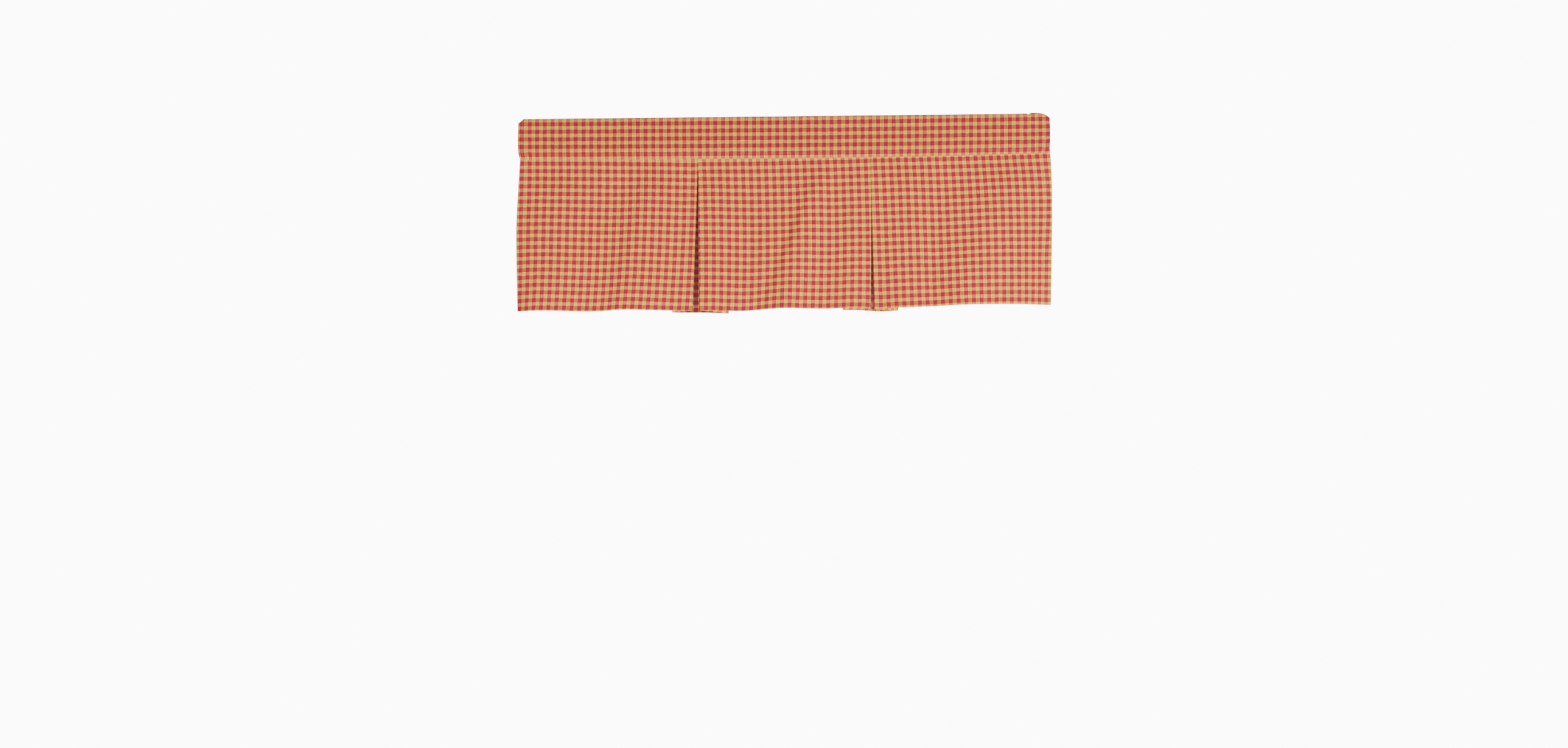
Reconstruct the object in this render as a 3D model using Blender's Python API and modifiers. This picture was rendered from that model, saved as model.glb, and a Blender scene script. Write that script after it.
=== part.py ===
"""Window valance in checked cotton: a rod-pocket heading band above a skirt with two inverted box pleats.

Metres, +Z up. The origin is the middle of the top edge, +X runs to the viewer's right along the
valance, and the face looks towards -Y. Everything hangs from the top edge.
"""

from math import cos, exp, pi, sin
from typing import NamedTuple

import bmesh
import bpy

# ---------------------------------------------------------------------------------------------
# Driving dimensions, in metres
# ---------------------------------------------------------------------------------------------
WIDTH = 1.270               # finished width along the top edge
HALF_WIDTH = WIDTH / 2
BAND_DROP = 0.0992          # top edge down to the seam, at the middle
SEAM_RISE_LEFT = 0.0030     # how much higher the seam runs at the left end
SEAM_RISE_RIGHT = 0.0060    # how much higher it runs at the right end
SKIRT_DROP = 0.357          # seam down to the hem
PLUMB_LEAN = 0.0108         # the rod is a little out of level, so the cloth leans from square by this slope

CLOTH = 0.0012              # thickness of a single layer of cloth
HEM_THICKNESS = 0.0018      # thickness where the cloth is turned up on itself
HEM_DEPTH = 0.026           # bottom hem
SIDE_HEM = 0.015            # side hems
HEM_STEP = 0.002            # distance over which a hem gets its thickness
PIECE_GAP = 0.0003          # clearance between the band and the skirt along the seam
LIP_GAP = 0.0006            # between the two lips of a pleat at the seam

# Heading band: a strip folded over at the top, its two edges sewn together at the seam
POCKET_RADIUS = 0.0062      # half the pocket's depth, on the middle of the cloth
POCKET_DROP = 0.079         # top edge to the end of the flat stretch that a rod fills
SEAM_RADIUS = 0.0016        # half-round under the band, where its edges meet
BAND_WAVE = 0.0006          # unevenness of the band's face
LEFT_CORNER = (0.026, 0.0100)    # length and fall of the left top corner
RIGHT_CORNER = (0.024, 0.0110)   # length and fall of the right top corner

# Skirt: where its side edges bow, and how its pleats are folded
EDGE_BOW_LEFT = 0.0035      # how far the left edge bows out at mid-height
EDGE_BOW_RIGHT = 0.0030
SEAM_PINCH = 0.0015         # how far both ends are drawn in at the seam
FACE_AHEAD = 0.0008         # how far the skirt's face stands ahead of the middle of the seam
FOLD_RADIUS = 0.0016        # pressed folds, on the middle of the cloth
FOLDS_BEGIN = 0.16          # part of the drop over which the soft folds form


class Pleat(NamedTuple):
    """An inverted box pleat. Swings are sideways moves between the seam and the hem."""

    x: float             # where the two lips meet at the seam
    left_swing: float    # move of the left lip
    right_swing: float   # move of the right lip
    swing_power: float   # how late the lips part: 1 is straight, more is later
    half_depth: float    # from the slit to the folds that are hidden behind it
    spread_top: float    # face to underlay at the seam
    spread_hem: float    # face to underlay at the hem
    droop_left: float    # how much lower the underlay hangs at its left fold
    droop_right: float   # how much lower it hangs at its right fold


#         x       left_swing right_swing power half_depth spread_top spread_hem droop_left droop_right
PLEATS = (
    Pleat(-0.2055, -0.0150, 0.0030, 1.2, 0.065, 0.0066, 0.0160, 0.0020, 0.0020),
    Pleat(0.2065, 0.0000, 0.0090, 2.2, 0.065, 0.0066, 0.0185, 0.0000, 0.0075),
)


class Fold(NamedTuple):
    """A soft ridge (reach above 0) or trough (below 0) that runs down the skirt."""

    name: str
    x_top: float         # middle of the fold at the seam
    x_hem: float         # middle of the fold at the hem
    left: float          # how far it spreads to the left
    right: float         # how far it spreads to the right
    reach_top: float     # how far it stands towards the viewer near the seam
    reach_hem: float     # how far it stands towards the viewer at the hem


#         name                 x_top   x_hem   left   right  reach_top reach_hem
FOLDS = (
    Fold("left edge turn",    -0.660, -0.660, 0.035, 0.035, -0.002, -0.012),
    Fold("left corner",       -0.560, -0.580, 0.100, 0.100, -0.004, -0.016),
    Fold("left trough",       -0.395, -0.470, 0.050, 0.045, -0.007, -0.008),
    Fold("left ridge",        -0.325, -0.378, 0.036, 0.044, 0.009, 0.018),
    Fold("left lip",          -0.240, -0.245, 0.035, 0.045, -0.002, -0.005),
    Fold("middle left ridge", -0.165, -0.165, 0.030, 0.035, 0.006, -0.001),
    Fold("middle trough",     -0.050, -0.100, 0.060, 0.040, -0.009, -0.022),
    Fold("middle ridge",      0.072, 0.012, 0.032, 0.036, 0.010, 0.013),
    Fold("middle dip",        0.118, 0.100, 0.022, 0.024, -0.004, -0.003),
    Fold("middle right ridge", 0.160, 0.165, 0.024, 0.024, 0.004, 0.005),
    Fold("right lip",         0.228, 0.230, 0.028, 0.030, -0.002, -0.018),
    Fold("right first ridge", 0.290, 0.330, 0.035, 0.035, 0.006, 0.006),
    Fold("right dip",         0.385, 0.345, 0.030, 0.025, -0.005, -0.003),
    Fold("right ridge",       0.545, 0.425, 0.070, 0.080, 0.014, 0.025),
    Fold("right edge turn",   0.665, 0.665, 0.060, 0.060, -0.007, -0.030),
)

# Numbers of steps in each mesh
PANEL_STEPS = 22            # across each face panel
LEAF_STEPS = 4              # across each hidden leaf
UNDERLAY_STEPS = 7          # across each underlay
TURN_STEPS = 5              # round each pressed fold
FALL_STEPS = 12             # down the skirt, above its hem
BAND_STEPS = 36             # along the band
WALL_STEPS = 3              # up each flat side of the band
SLOPE_STEPS = 4             # up each side between the seam and the flat part
TOP_STEPS = 6               # over the band's top
SEAM_STEPS = 4              # round the band's bottom

BAND_COLOUR = (0.53, 0.22, 0.13, 1.0)
SKIRT_COLOUR = (0.56, 0.24, 0.14, 1.0)
CLOTH_ROUGHNESS = 0.9


# ---------------------------------------------------------------------------------------------
# Small helpers
# ---------------------------------------------------------------------------------------------
def blend(start, end, share):
    """Return the value at a share of the way from start to end."""
    return start + (end - start) * share


def ease(share):
    """Return a smooth 0 to 1 step."""
    share = min(max(share, 0.0), 1.0)
    return share * share * (3.0 - 2.0 * share)


def clear_scene():
    """Remove the objects that are in the scene."""
    for obj in list(bpy.data.objects):
        bpy.data.objects.remove(obj, do_unlink=True)


def cloth_material(name, colour):
    """Return a matt cloth material."""
    material = bpy.data.materials.new(name)
    material.use_nodes = True
    shader = material.node_tree.nodes["Principled BSDF"]
    shader.inputs["Base Color"].default_value = colour
    shader.inputs["Roughness"].default_value = CLOTH_ROUGHNESS
    shader.inputs["Metallic"].default_value = 0.0
    return material


def mapped_grid(name, columns, rows, place, material, collection):
    """Make a grid object of columns by rows points, each put where place(column, row) says."""
    mesh_data = bmesh.new()
    bmesh.ops.create_grid(mesh_data, x_segments=columns - 1, y_segments=rows - 1, size=1.0)
    for vertex in mesh_data.verts:
        column = round((vertex.co.x + 1.0) / 2.0 * (columns - 1))
        row = round((vertex.co.y + 1.0) / 2.0 * (rows - 1))
        vertex.co = place(column, row)
    mesh = bpy.data.meshes.new(name)
    mesh_data.to_mesh(mesh)
    mesh_data.free()
    mesh.materials.append(material)
    obj = bpy.data.objects.new(name, mesh)
    collection.objects.link(obj)
    return obj


def thicken(obj, thickness):
    """Give an open or tubular sheet its thickness, half to each side."""
    solidify = obj.modifiers.new("cloth thickness", "SOLIDIFY")
    solidify.thickness = thickness
    solidify.offset = 0.0
    solidify.use_even_offset = True
    solidify.use_rim = True
    return solidify


def smooth_shade(obj):
    """Shade soft faces smooth and keep the cut edges sharp."""
    obj.data.shade_smooth()
    obj.data.set_sharp_from_angle(angle=pi / 3)


def seam_height(x):
    """Return the height of the seam line, which runs a little higher towards both ends."""
    share = x / HALF_WIDTH
    rise = SEAM_RISE_LEFT * share * share if x < 0 else SEAM_RISE_RIGHT * share ** 3
    return -BAND_DROP + rise


# ---------------------------------------------------------------------------------------------
# Heading band
# ---------------------------------------------------------------------------------------------
def band_top(x):
    """Return the height of the top edge, which falls away at the two corners."""
    left_length, left_fall = LEFT_CORNER
    right_length, right_fall = RIGHT_CORNER
    left = max(0.0, 1.0 - (x + HALF_WIDTH) / left_length)
    right = max(0.0, 1.0 - (HALF_WIDTH - x) / right_length)
    return -left_fall * left ** 1.3 - right_fall * right ** 2.2


def band_section(x):
    """Return the band's closed section at x as (y, z) points, round from the middle of its bottom."""
    bottom = seam_height(x) + PIECE_GAP / 2 + CLOTH / 2
    top = band_top(x)
    face = []
    for step in range(SEAM_STEPS // 2):
        angle = pi / 2 * step / (SEAM_STEPS // 2)
        face.append((-SEAM_RADIUS * sin(angle), bottom + SEAM_RADIUS * (1.0 - cos(angle))))
    for step in range(SLOPE_STEPS):
        share = step / SLOPE_STEPS
        y = -blend(SEAM_RADIUS, POCKET_RADIUS, ease(share))
        face.append((y, blend(bottom + SEAM_RADIUS, -POCKET_DROP, share)))
    for step in range(WALL_STEPS):
        face.append((-POCKET_RADIUS, blend(-POCKET_DROP, top - POCKET_RADIUS, step / WALL_STEPS)))
    for step in range(TOP_STEPS // 2):
        angle = pi * step / TOP_STEPS
        face.append((-POCKET_RADIUS * cos(angle), top - POCKET_RADIUS * (1.0 - sin(angle))))
    back = [(-y, z) for y, z in face[:0:-1]]
    return face + [(0.0, top)] + back


def build_band(collection):
    """Make the heading band: a flat tube of cloth, open at both ends for the rod."""
    sections = []
    for step in range(BAND_STEPS + 1):
        along = sin(pi / 2 * (2.0 * step / BAND_STEPS - 1.0))
        x = along * HALF_WIDTH
        sections.append((x, band_section(x)))
    count = len(sections[0][1])

    def place(column, row):
        x, section = sections[column]
        y, z = section[row % count]
        wave = BAND_WAVE * sin(9.0 * x + 0.6) * sin(pi * min(1.0, -z / POCKET_DROP))
        return (x + PLUMB_LEAN * z, y + wave, z)

    band = mapped_grid("heading_band", BAND_STEPS + 1, count + 1, place,
                       cloth_material("heading_cloth", BAND_COLOUR), collection)
    mesh_data = bmesh.new()
    mesh_data.from_mesh(band.data)
    bmesh.ops.remove_doubles(mesh_data, verts=mesh_data.verts, dist=0.00001)
    bmesh.ops.recalc_face_normals(mesh_data, faces=mesh_data.faces)
    mesh_data.to_mesh(band.data)
    mesh_data.free()
    thicken(band, CLOTH)
    smooth_shade(band)
    return band


# ---------------------------------------------------------------------------------------------
# Skirt
# ---------------------------------------------------------------------------------------------
class Run(NamedTuple):
    """A flat stretch of the skirt's plan. Ends are (x, depth behind the face, droop)."""

    start: tuple
    end: tuple
    steps: int

    def at(self, share):
        """Return (x, depth, droop) at a share of the stretch, and the x whose soft folds it follows."""
        x, depth, droop = (blend(a, b, share) for a, b in zip(self.start, self.end))
        return x, depth, droop, x


class Turn(NamedTuple):
    """A pressed fold: a half-round of the skirt's plan."""

    x: float             # middle of the half-round
    depth: float
    droop: float
    side: float          # 1 where it bulges to the right, -1 to the left
    way: float           # 1 where the cloth runs backwards round it, -1 forwards
    steps: int

    def at(self, share):
        """Return (x, depth, droop) at a share of the half-round, and the x whose soft folds it follows."""
        angle = pi * share
        x = self.x + self.side * FOLD_RADIUS * sin(angle)
        return x, self.depth - self.way * FOLD_RADIUS * cos(angle), self.droop, self.x


def edge_bow(fall, bow):
    """Return how far a side edge stands out from the half width at a share of the drop."""
    return bow * sin(pi * fall ** 0.7) - SEAM_PINCH * (1.0 - ease(fall / FOLDS_BEGIN))


def skirt_plan(fall):
    """Return the skirt's plan at a share of its drop: runs and turns, left to right along the cloth."""
    radius = FOLD_RADIUS
    plan = []
    start = (-HALF_WIDTH - edge_bow(fall, EDGE_BOW_LEFT), 0.0, 0.0)
    for pleat in PLEATS:
        opened = fall ** pleat.swing_power
        left_lip = pleat.x - LIP_GAP / 2 + pleat.left_swing * opened - radius - CLOTH / 2
        right_lip = pleat.x + LIP_GAP / 2 + pleat.right_swing * opened + radius + CLOTH / 2
        left_fold = pleat.x - pleat.half_depth + radius
        right_fold = pleat.x + pleat.half_depth - radius
        spread = blend(pleat.spread_top, pleat.spread_hem, fall)
        left, right = pleat.droop_left, pleat.droop_right
        plan += [
            Run(start, (left_lip, 0.0, 0.0), PANEL_STEPS),
            Turn(left_lip, radius, 0.0, 1.0, 1.0, TURN_STEPS),
            Run((left_lip, 2 * radius, 0.0), (left_fold, spread - 2 * radius, left), LEAF_STEPS),
            Turn(left_fold, spread - radius, left, -1.0, 1.0, TURN_STEPS),
            Run((left_fold, spread, left), (right_fold, spread, right), UNDERLAY_STEPS),
            Turn(right_fold, spread - radius, right, 1.0, -1.0, TURN_STEPS),
            Run((right_fold, spread - 2 * radius, right), (right_lip, 2 * radius, 0.0), LEAF_STEPS),
            Turn(right_lip, radius, 0.0, -1.0, -1.0, TURN_STEPS),
        ]
        start = (right_lip, 0.0, 0.0)
    right_edge = HALF_WIDTH + edge_bow(fall, EDGE_BOW_RIGHT)
    plan.append(Run(start, (right_edge, 0.0, 0.0), PANEL_STEPS))
    return plan


def fold_reach(x, fall):
    """Return how far the soft folds bring the cloth towards the viewer."""
    reach = 0.0
    for fold in FOLDS:
        middle = blend(fold.x_top, fold.x_hem, fall)
        spread = fold.left if x < middle else fold.right
        reach += blend(fold.reach_top, fold.reach_hem, fall) * exp(-((x - middle) / spread) ** 2)
    return reach * ease(fall / FOLDS_BEGIN)


def skirt_columns():
    """Return the skirt's columns along the cloth, each a stretch's number and a share of it."""
    plan = skirt_plan(0.0)
    side = SIDE_HEM / (PLEATS[0].x + HALF_WIDTH)
    step = HEM_STEP / (PLEATS[0].x + HALF_WIDTH)
    columns = [(0, 0.0), (0, side)]
    for number, stretch in enumerate(plan):
        first = side + step if number == 0 else 0.0
        last = 1.0 - side - step if number == len(plan) - 1 else 1.0
        begin = 0 if number == 0 else 1
        for count in range(begin, stretch.steps + 1):
            columns.append((number, blend(first, last, count / stretch.steps)))
    columns += [(len(plan) - 1, 1.0 - side), (len(plan) - 1, 1.0)]
    return columns


def skirt_falls():
    """Return the skirt's rows from the seam to the hem, as shares of its drop."""
    hem_top = 1.0 - HEM_DEPTH / SKIRT_DROP
    step = HEM_STEP / SKIRT_DROP
    falls = [(hem_top - step) * count / FALL_STEPS for count in range(FALL_STEPS + 1)]
    return falls + [hem_top, 1.0]


def build_skirt(collection):
    """Make the skirt: one width of cloth with its pleats, soft folds and turned-up hems."""
    columns = skirt_columns()
    falls = skirt_falls()
    plans = [skirt_plan(fall) for fall in falls]

    def place(column, row):
        number, share = columns[column]
        fall = falls[row]
        x, depth, droop, folds_x = plans[row][number].at(share)
        z = seam_height(x) - PIECE_GAP / 2 - fall * (SKIRT_DROP + droop)
        return (x + PLUMB_LEAN * z, depth - FACE_AHEAD - fold_reach(folds_x, fall), z)

    skirt = mapped_grid("pleated_skirt", len(columns), len(falls), place,
                        cloth_material("skirt_cloth", SKIRT_COLOUR), collection)
    hems = skirt.vertex_groups.new(name="hems")
    hem_columns = {0, 1, len(columns) - 2, len(columns) - 1}
    hem_rows = {len(falls) - 2, len(falls) - 1}
    for vertex in skirt.data.vertices:
        column = vertex.index % len(columns)
        row = vertex.index // len(columns)
        if column in hem_columns or row in hem_rows:
            hems.add([vertex.index], 1.0, "REPLACE")
    solidify = thicken(skirt, HEM_THICKNESS)
    solidify.vertex_group = hems.name
    solidify.thickness_vertex_group = CLOTH / HEM_THICKNESS
    smooth_shade(skirt)
    return skirt


def main():
    """Build the valance in its own collection."""
    clear_scene()
    collection = bpy.data.collections.new("window_valance")
    bpy.context.scene.collection.children.link(collection)
    build_band(collection)
    build_skirt(collection)


main()
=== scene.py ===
"""Dress the window valance: its checked cotton heading band, its pleated skirt and their sewing.

Metres, +Z up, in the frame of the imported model: the origin is the middle of the top edge, +X runs to the
viewer's right along the valance, and the face looks towards -Y. Everything hangs from the top edge.
"""

import logging
from dataclasses import dataclass
from enum import Enum
from math import pi, radians
from typing import NamedTuple

import bpy
import numpy as np
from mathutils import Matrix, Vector


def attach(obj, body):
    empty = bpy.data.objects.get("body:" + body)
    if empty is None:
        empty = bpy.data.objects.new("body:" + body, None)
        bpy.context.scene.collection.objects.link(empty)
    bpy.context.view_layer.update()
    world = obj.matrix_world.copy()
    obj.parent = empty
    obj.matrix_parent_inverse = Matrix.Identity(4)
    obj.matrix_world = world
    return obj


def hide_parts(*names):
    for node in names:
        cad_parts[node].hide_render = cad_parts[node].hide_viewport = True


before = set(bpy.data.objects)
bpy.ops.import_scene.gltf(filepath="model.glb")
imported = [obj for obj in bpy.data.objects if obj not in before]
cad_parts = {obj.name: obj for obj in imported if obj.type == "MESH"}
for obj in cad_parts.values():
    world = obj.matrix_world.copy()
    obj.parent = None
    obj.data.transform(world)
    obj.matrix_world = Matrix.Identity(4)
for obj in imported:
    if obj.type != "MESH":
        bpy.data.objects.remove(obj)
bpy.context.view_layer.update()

Array = np.ndarray
Colour = tuple[float, float, float, float]
Edges = tuple[float, float, float, float]      # where a smooth band rises, and where it falls
LOG = logging.getLogger("window_valance")
CLOTH_MAP = "cloth"         # UV map in metres: u along the width of the cloth, v down it
PAINTED_LIGHT_MAP = "painted_light_and_shade"           # vertex attribute: painted light (above 0), a pale film inside the pleats, or painted shade (below 0) along their hidden hem
PITCH_ACROSS = 0.01843      # one red and one gold column of the check
PITCH_DOWN = 0.01793        # one red and one gold row
TOUCH = 1e-6                # lengths that differ by less are taken as equal


# ---------------------------------------------------------------------------------------------
# Numbers on arrays
# ---------------------------------------------------------------------------------------------
def blend(start: Array | float, end: Array | float, share: Array | float) -> Array | float:
    """Return start + (end - start) * share."""
    return start + (end - start) * share


def ease(share: Array | float) -> Array:
    """Return 3 t^2 - 2 t^3, with the share t held between 0 and 1."""
    held = np.clip(share, 0.0, 1.0)
    return held * held * (3.0 - 2.0 * held)


def swell(distance: Array | float) -> Array:
    """Return the bell exp(-d^2)."""
    return np.exp(-np.square(distance))


def bowed(values: tuple, share: Array) -> Array:
    """Return the parabola through three values, which lie at the shares 0, 1/2 and 1."""
    start, middle, end = values
    slope = 4.0 * middle - 3.0 * start - end
    return start + share * slope + share ** 2 * 2.0 * (start + end - 2.0 * middle)


def unit(vectors: Array) -> Array:
    """Return vectors divided by their lengths."""
    return vectors / np.maximum(np.linalg.norm(vectors, axis=-1, keepdims=True), 1e-12)


def sampled(values: Array, lengths: Array, at: Array) -> Array:
    """Return rows of three values, read off straight between the lengths that they belong to."""
    return np.stack([np.interp(at, lengths, column) for column in values.T], axis=1)


def run_lengths(points: Array) -> Array:
    """Return the distance covered along each row of points.

    Args:
        points: rows by columns by 3.

    Returns:
        Rows by columns: the running sum of the distances between neighbours, from 0.
    """
    steps = np.linalg.norm(np.diff(points, axis=1), axis=-1)
    return np.concatenate([np.zeros((len(points), 1)), np.cumsum(steps, axis=1)], axis=1)


# ---------------------------------------------------------------------------------------------
# Shader maths
# ---------------------------------------------------------------------------------------------
class Number:
    """A node's output. Arithmetic on it adds Math nodes."""

    def __init__(self, nodes: "Nodes", socket: bpy.types.NodeSocket) -> None:
        """Wrap an output socket."""
        self.nodes = nodes
        self.socket = socket

    def _math(self, operation: str, *values: "Number | float") -> "Number":
        """Add one Math node.

        Args:
            operation: the node's operation.
            values: its inputs in order.

        Returns:
            The node's result.
        """
        return self.nodes.add("ShaderNodeMath", {"operation": operation}, dict(enumerate(values)))

    def __add__(self, other: "Number | float") -> "Number":
        """Return self + other."""
        return self._math("ADD", self, other)

    def __radd__(self, other: float) -> "Number":
        """Return other + self."""
        return self._math("ADD", other, self)

    def __sub__(self, other: "Number | float") -> "Number":
        """Return self - other."""
        return self._math("SUBTRACT", self, other)

    def __rsub__(self, other: float) -> "Number":
        """Return other - self."""
        return self._math("SUBTRACT", other, self)

    def __mul__(self, other: "Number | float") -> "Number":
        """Return self * other."""
        return self._math("MULTIPLY", self, other)

    def __rmul__(self, other: float) -> "Number":
        """Return other * self."""
        return self._math("MULTIPLY", other, self)

    def __truediv__(self, other: "Number | float") -> "Number":
        """Return self / other."""
        return self._math("DIVIDE", self, other)

    def __mod__(self, other: float) -> "Number":
        """Return self modulo other, which is never negative."""
        return self._math("FLOORED_MODULO", self, other)

    def absolute(self) -> "Number":
        """Return self without its sign."""
        return self._math("ABSOLUTE", self)

    def floor(self) -> "Number":
        """Return self rounded down."""
        return self._math("FLOOR", self)

    def sine(self) -> "Number":
        """Return the sine of self, in radians."""
        return self._math("SINE", self)

    def from_half(self) -> "Number":
        """Return how far self is from the nearest half, such as 0.5 or 1.5."""
        return (self % 1.0 - 0.5).absolute()

    def above(self, start: float, end: float) -> "Number":
        """Return a smooth 0 to 1 step as self rises from start to end."""
        return self.nodes.add("ShaderNodeMapRange", {"interpolation_type": "SMOOTHSTEP"},
                              {"Value": self, "From Min": start, "From Max": end})

    def below(self, start: float, end: float) -> "Number":
        """Return a smooth 1 to 0 step as self rises from start to end."""
        return 1.0 - self.above(start, end)

    def within(self, edges: Edges) -> "Number":
        """Return 1 in a smooth band, which rises over the first two edges and falls over the others."""
        return self.above(*edges[:2]) * self.below(*edges[2:])


class Nodes:
    """Adds nodes to one material, or to the world."""

    def __init__(self, owner: bpy.types.Material | bpy.types.World) -> None:
        """Empty the owner's tree."""
        owner.use_nodes = True
        self.owner = owner
        self.tree = owner.node_tree
        self.tree.nodes.clear()

    def add(self, kind: str, settings: dict | None = None, inputs: dict | None = None,
            output: str | None = None) -> Number | None:
        """Add a node of any kind.

        Args:
            kind: the node's type.
            settings: its own properties, which are set first.
            inputs: values or wrapped outputs, by the input's number or by its name. A name that
                several inputs share means the one that the settings leave on.
            output: the name of the output to wrap. Without one it is the first that is on.

        Returns:
            The wrapped output, or None for a node that has none.
        """
        node = self.tree.nodes.new(kind)
        for name, value in (settings or {}).items():
            setattr(node, name, value)
        for key, value in (inputs or {}).items():
            socket = node.inputs[key] if isinstance(key, int) else self._named(node.inputs, key)
            if isinstance(value, Number):
                self.tree.links.new(value.socket, socket)
            else:
                socket.default_value = value
        return Number(self, self._named(node.outputs, output)) if len(node.outputs) else None

    @staticmethod
    def _named(sockets: bpy.types.bpy_prop_collection, name: str | None) -> bpy.types.NodeSocket:
        """Return the first socket that is on and has this name, or just the first that is on."""
        return next(s for s in sockets if s.enabled and name in (None, s.name))

    def cloth_place(self) -> tuple[Number, Number, Number]:
        """Return the cloth's own coordinates in metres, as a vector, u and v."""
        place = self.add("ShaderNodeUVMap", {"uv_map": CLOTH_MAP})
        along = self.add("ShaderNodeSeparateXYZ", inputs={"Vector": place}, output="X")
        return place, along, Number(self, along.socket.node.outputs["Y"])

    def noise(self, place: Number, across: float, down: float, detail: float = 1.0) -> Number:
        """Return noise around 0.5, with so many bumps to the metre across and down the cloth."""
        scaled = self.add("ShaderNodeVectorMath", {"operation": "MULTIPLY"},
                          {0: place, 1: (across, down, 1.0)})
        return self.add("ShaderNodeTexNoise", inputs={"Vector": scaled, "Scale": 1.0, "Detail": detail})

    def mix(self, share: Number, first: Number | Colour, second: Number | Colour) -> Number:
        """Return the colour at a share of the way from first to second."""
        return self.add("ShaderNodeMix", {"data_type": "RGBA"},
                        {"Factor": share, "A": first, "B": second})

    def tinted(self, colour: Number, level: Number) -> Number:
        """Return the colour multiplied by a level, the same for red, green and blue."""
        return self.add("ShaderNodeVectorMath", {"operation": "SCALE"},
                        {"Vector": colour, "Scale": level})

    def finish(self, settings: dict) -> bpy.types.Material:
        """Add the surface shader and the output.

        Args:
            settings: the Principled BSDF's inputs by name.

        Returns:
            The material.
        """
        shader = self.add("ShaderNodeBsdfPrincipled", inputs=settings)
        self.add("ShaderNodeOutputMaterial", inputs={"Surface": shader})
        return self.owner


# ---------------------------------------------------------------------------------------------
# Finishes
# ---------------------------------------------------------------------------------------------
@dataclass(frozen=True)
class CheckedCotton:
    """Yarn-dyed check: red and gold stripes of equal pitch both ways, in a plain weave.

    Threads lie over and under each other by turns. Where a red column crosses a gold row the deep and
    pale threads look salmon from afar, and every second such cell has a small pale cross of floating
    threads: five dots. Where a gold column crosses a red row they look orange. A gold stripe's outer
    threads are paler on gold and stronger on salmon and orange, and a red stripe's are darker. The
    lightness on each thread's crown and the darkness in the gaps between threads are painted shade.
    Where the vertices' attribute says, a pale pink film of painted light lifts the shade inside the
    pleats, and painted shade darkens their hidden hem.
    """

    name: str
    level: float = 1.0                  # overall lightness
    pitch_across: float = PITCH_ACROSS
    pitch_down: float = PITCH_DOWN
    red_across: float = 0.510           # part of the pitch across that is red
    red_down: float = 0.530             # part of the pitch down that is red
    edge: float = 0.046                 # softness of a stripe's edge, in pitches
    threads: int = 30                   # threads to the pitch, both ways
    wander: float = 0.10                # how far the stripes wander from straight, in pitches
    wander_scale: tuple[float, float] = (37.0, 90.0)    # and how often to the metre, across and along
    odd: tuple[float, float] = (0.4, 0.6)      # a step between even cells (0) and odd ones (1)
    float_beside: float = 0.12          # from a cell's middle to the pale dots beside it, in pitches
    float_above: float = 0.15           # and to the dots above and below it
    dot: tuple[float, float] = (0.0008, 0.0062)         # a dot fades between these distances squared
    middle_dot: tuple[float, float] = (0.0004, 0.0040)  # and so does the dot in the middle
    middle_strength: float = 0.6        # how strong that dot is
    float_cover: float = 0.68           # how well the floating threads cover those under them
    float_patchy: float = 1.5           # how much that varies with the mottle
    rim: tuple[float, float] = (0.14, 0.20)    # a gold stripe's outer threads begin here, in pitches
    border_across: Edges = (0.240, 0.265, 0.300, 0.345)     # a red column's outer threads lie this
    border_down: Edges = (0.230, 0.255, 0.290, 0.335)       # far from gold's middle, and a red row's
    border_shade: float = 0.30          # how much darker a red stripe's outer threads are
    weave_turn: float = 0.3             # how softly lengthwise threads give way to crosswise ones
    slub_scale: float = 42.0            # slubs to the metre, along a thread
    mottle_scale: float = 600.0         # fine speckles to the metre
    cloud_scale: float = 9.0            # slow drifts of colour to the metre
    crown_painted_shade: float = 0.35           # painted shade: how much lighter a thread's crown and darker the gaps between threads are painted
    slub_shade: float = 0.55            # how much the slubs add, and so on
    mottle_shade: float = 0.55
    cloud_shade: float = 0.07
    slub_relief: float = 0.6            # height of the slubs beside a thread's own
    roughness: float = 0.86
    slub_roughness: float = 0.12        # how much the slubs vary it
    painted_light_share: float = 0.0             # how strongly the painted light, a pale film, lifts the shade inside a pleat
    painted_shade_share: float = 0.45            # how much darker the painted shade makes the pleats' hidden hem
    # painted light: the pale pink film that lifts the shade inside the pleats
    painted_light: Colour = (1.000, 0.430, 0.6200, 1.0)
    gold: Colour = (0.602, 0.384, 0.0250, 1.0)
    gold_rim: Colour = (1.000, 0.500, 0.0280, 1.0)
    red: Colour = (0.288, 0.0094, 0.0205, 1.0)
    salmon_deep: Colour = (0.387, 0.0356, 0.0326, 1.0)
    salmon_pale: Colour = (0.640, 0.1380, 0.0664, 1.0)
    salmon_rim: Colour = (0.740, 0.0760, 0.0500, 1.0)
    float_pale: Colour = (1.000, 0.270, 0.1150, 1.0)
    orange_deep: Colour = (0.304, 0.0510, 0.0215, 1.0)
    orange_pale: Colour = (0.488, 0.1590, 0.0304, 1.0)
    orange_rim: Colour = (0.640, 0.1150, 0.0300, 1.0)

    def _stripe(self, stripes: Number, share: float) -> Number:
        """Return 1 in a red stripe and 0 in a gold one.

        Args:
            stripes: the place counted in pitches. A red stripe's middle is at each half.
            share: the part of the pitch that is red.

        Returns:
            The mask: the distance to a red stripe's middle, set against half its width.
        """
        return stripes.from_half().below(share / 2 - self.edge, share / 2 + self.edge)

    def _floats(self, column: Number, row: Number) -> Number:
        """Return 1 on the pale floating threads: five small dots, set as a cross in the middle of
        every second cell where a red column crosses a gold row. A dot is where the square of the
        distance from its middle is small."""
        odd = ((column.floor() + (row + 0.5).floor()) % 2.0).above(*self.odd)
        aside = column.from_half()
        apart = (row + 0.5).from_half()
        beside = aside - self.float_beside
        above = apart - self.float_above
        sides = (beside * beside + apart * apart).below(*self.dot)
        ends = (aside * aside + above * above).below(*self.dot)
        middle = (aside * aside + apart * apart).below(*self.middle_dot) * self.middle_strength
        return (sides + ends + middle) * odd

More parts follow.
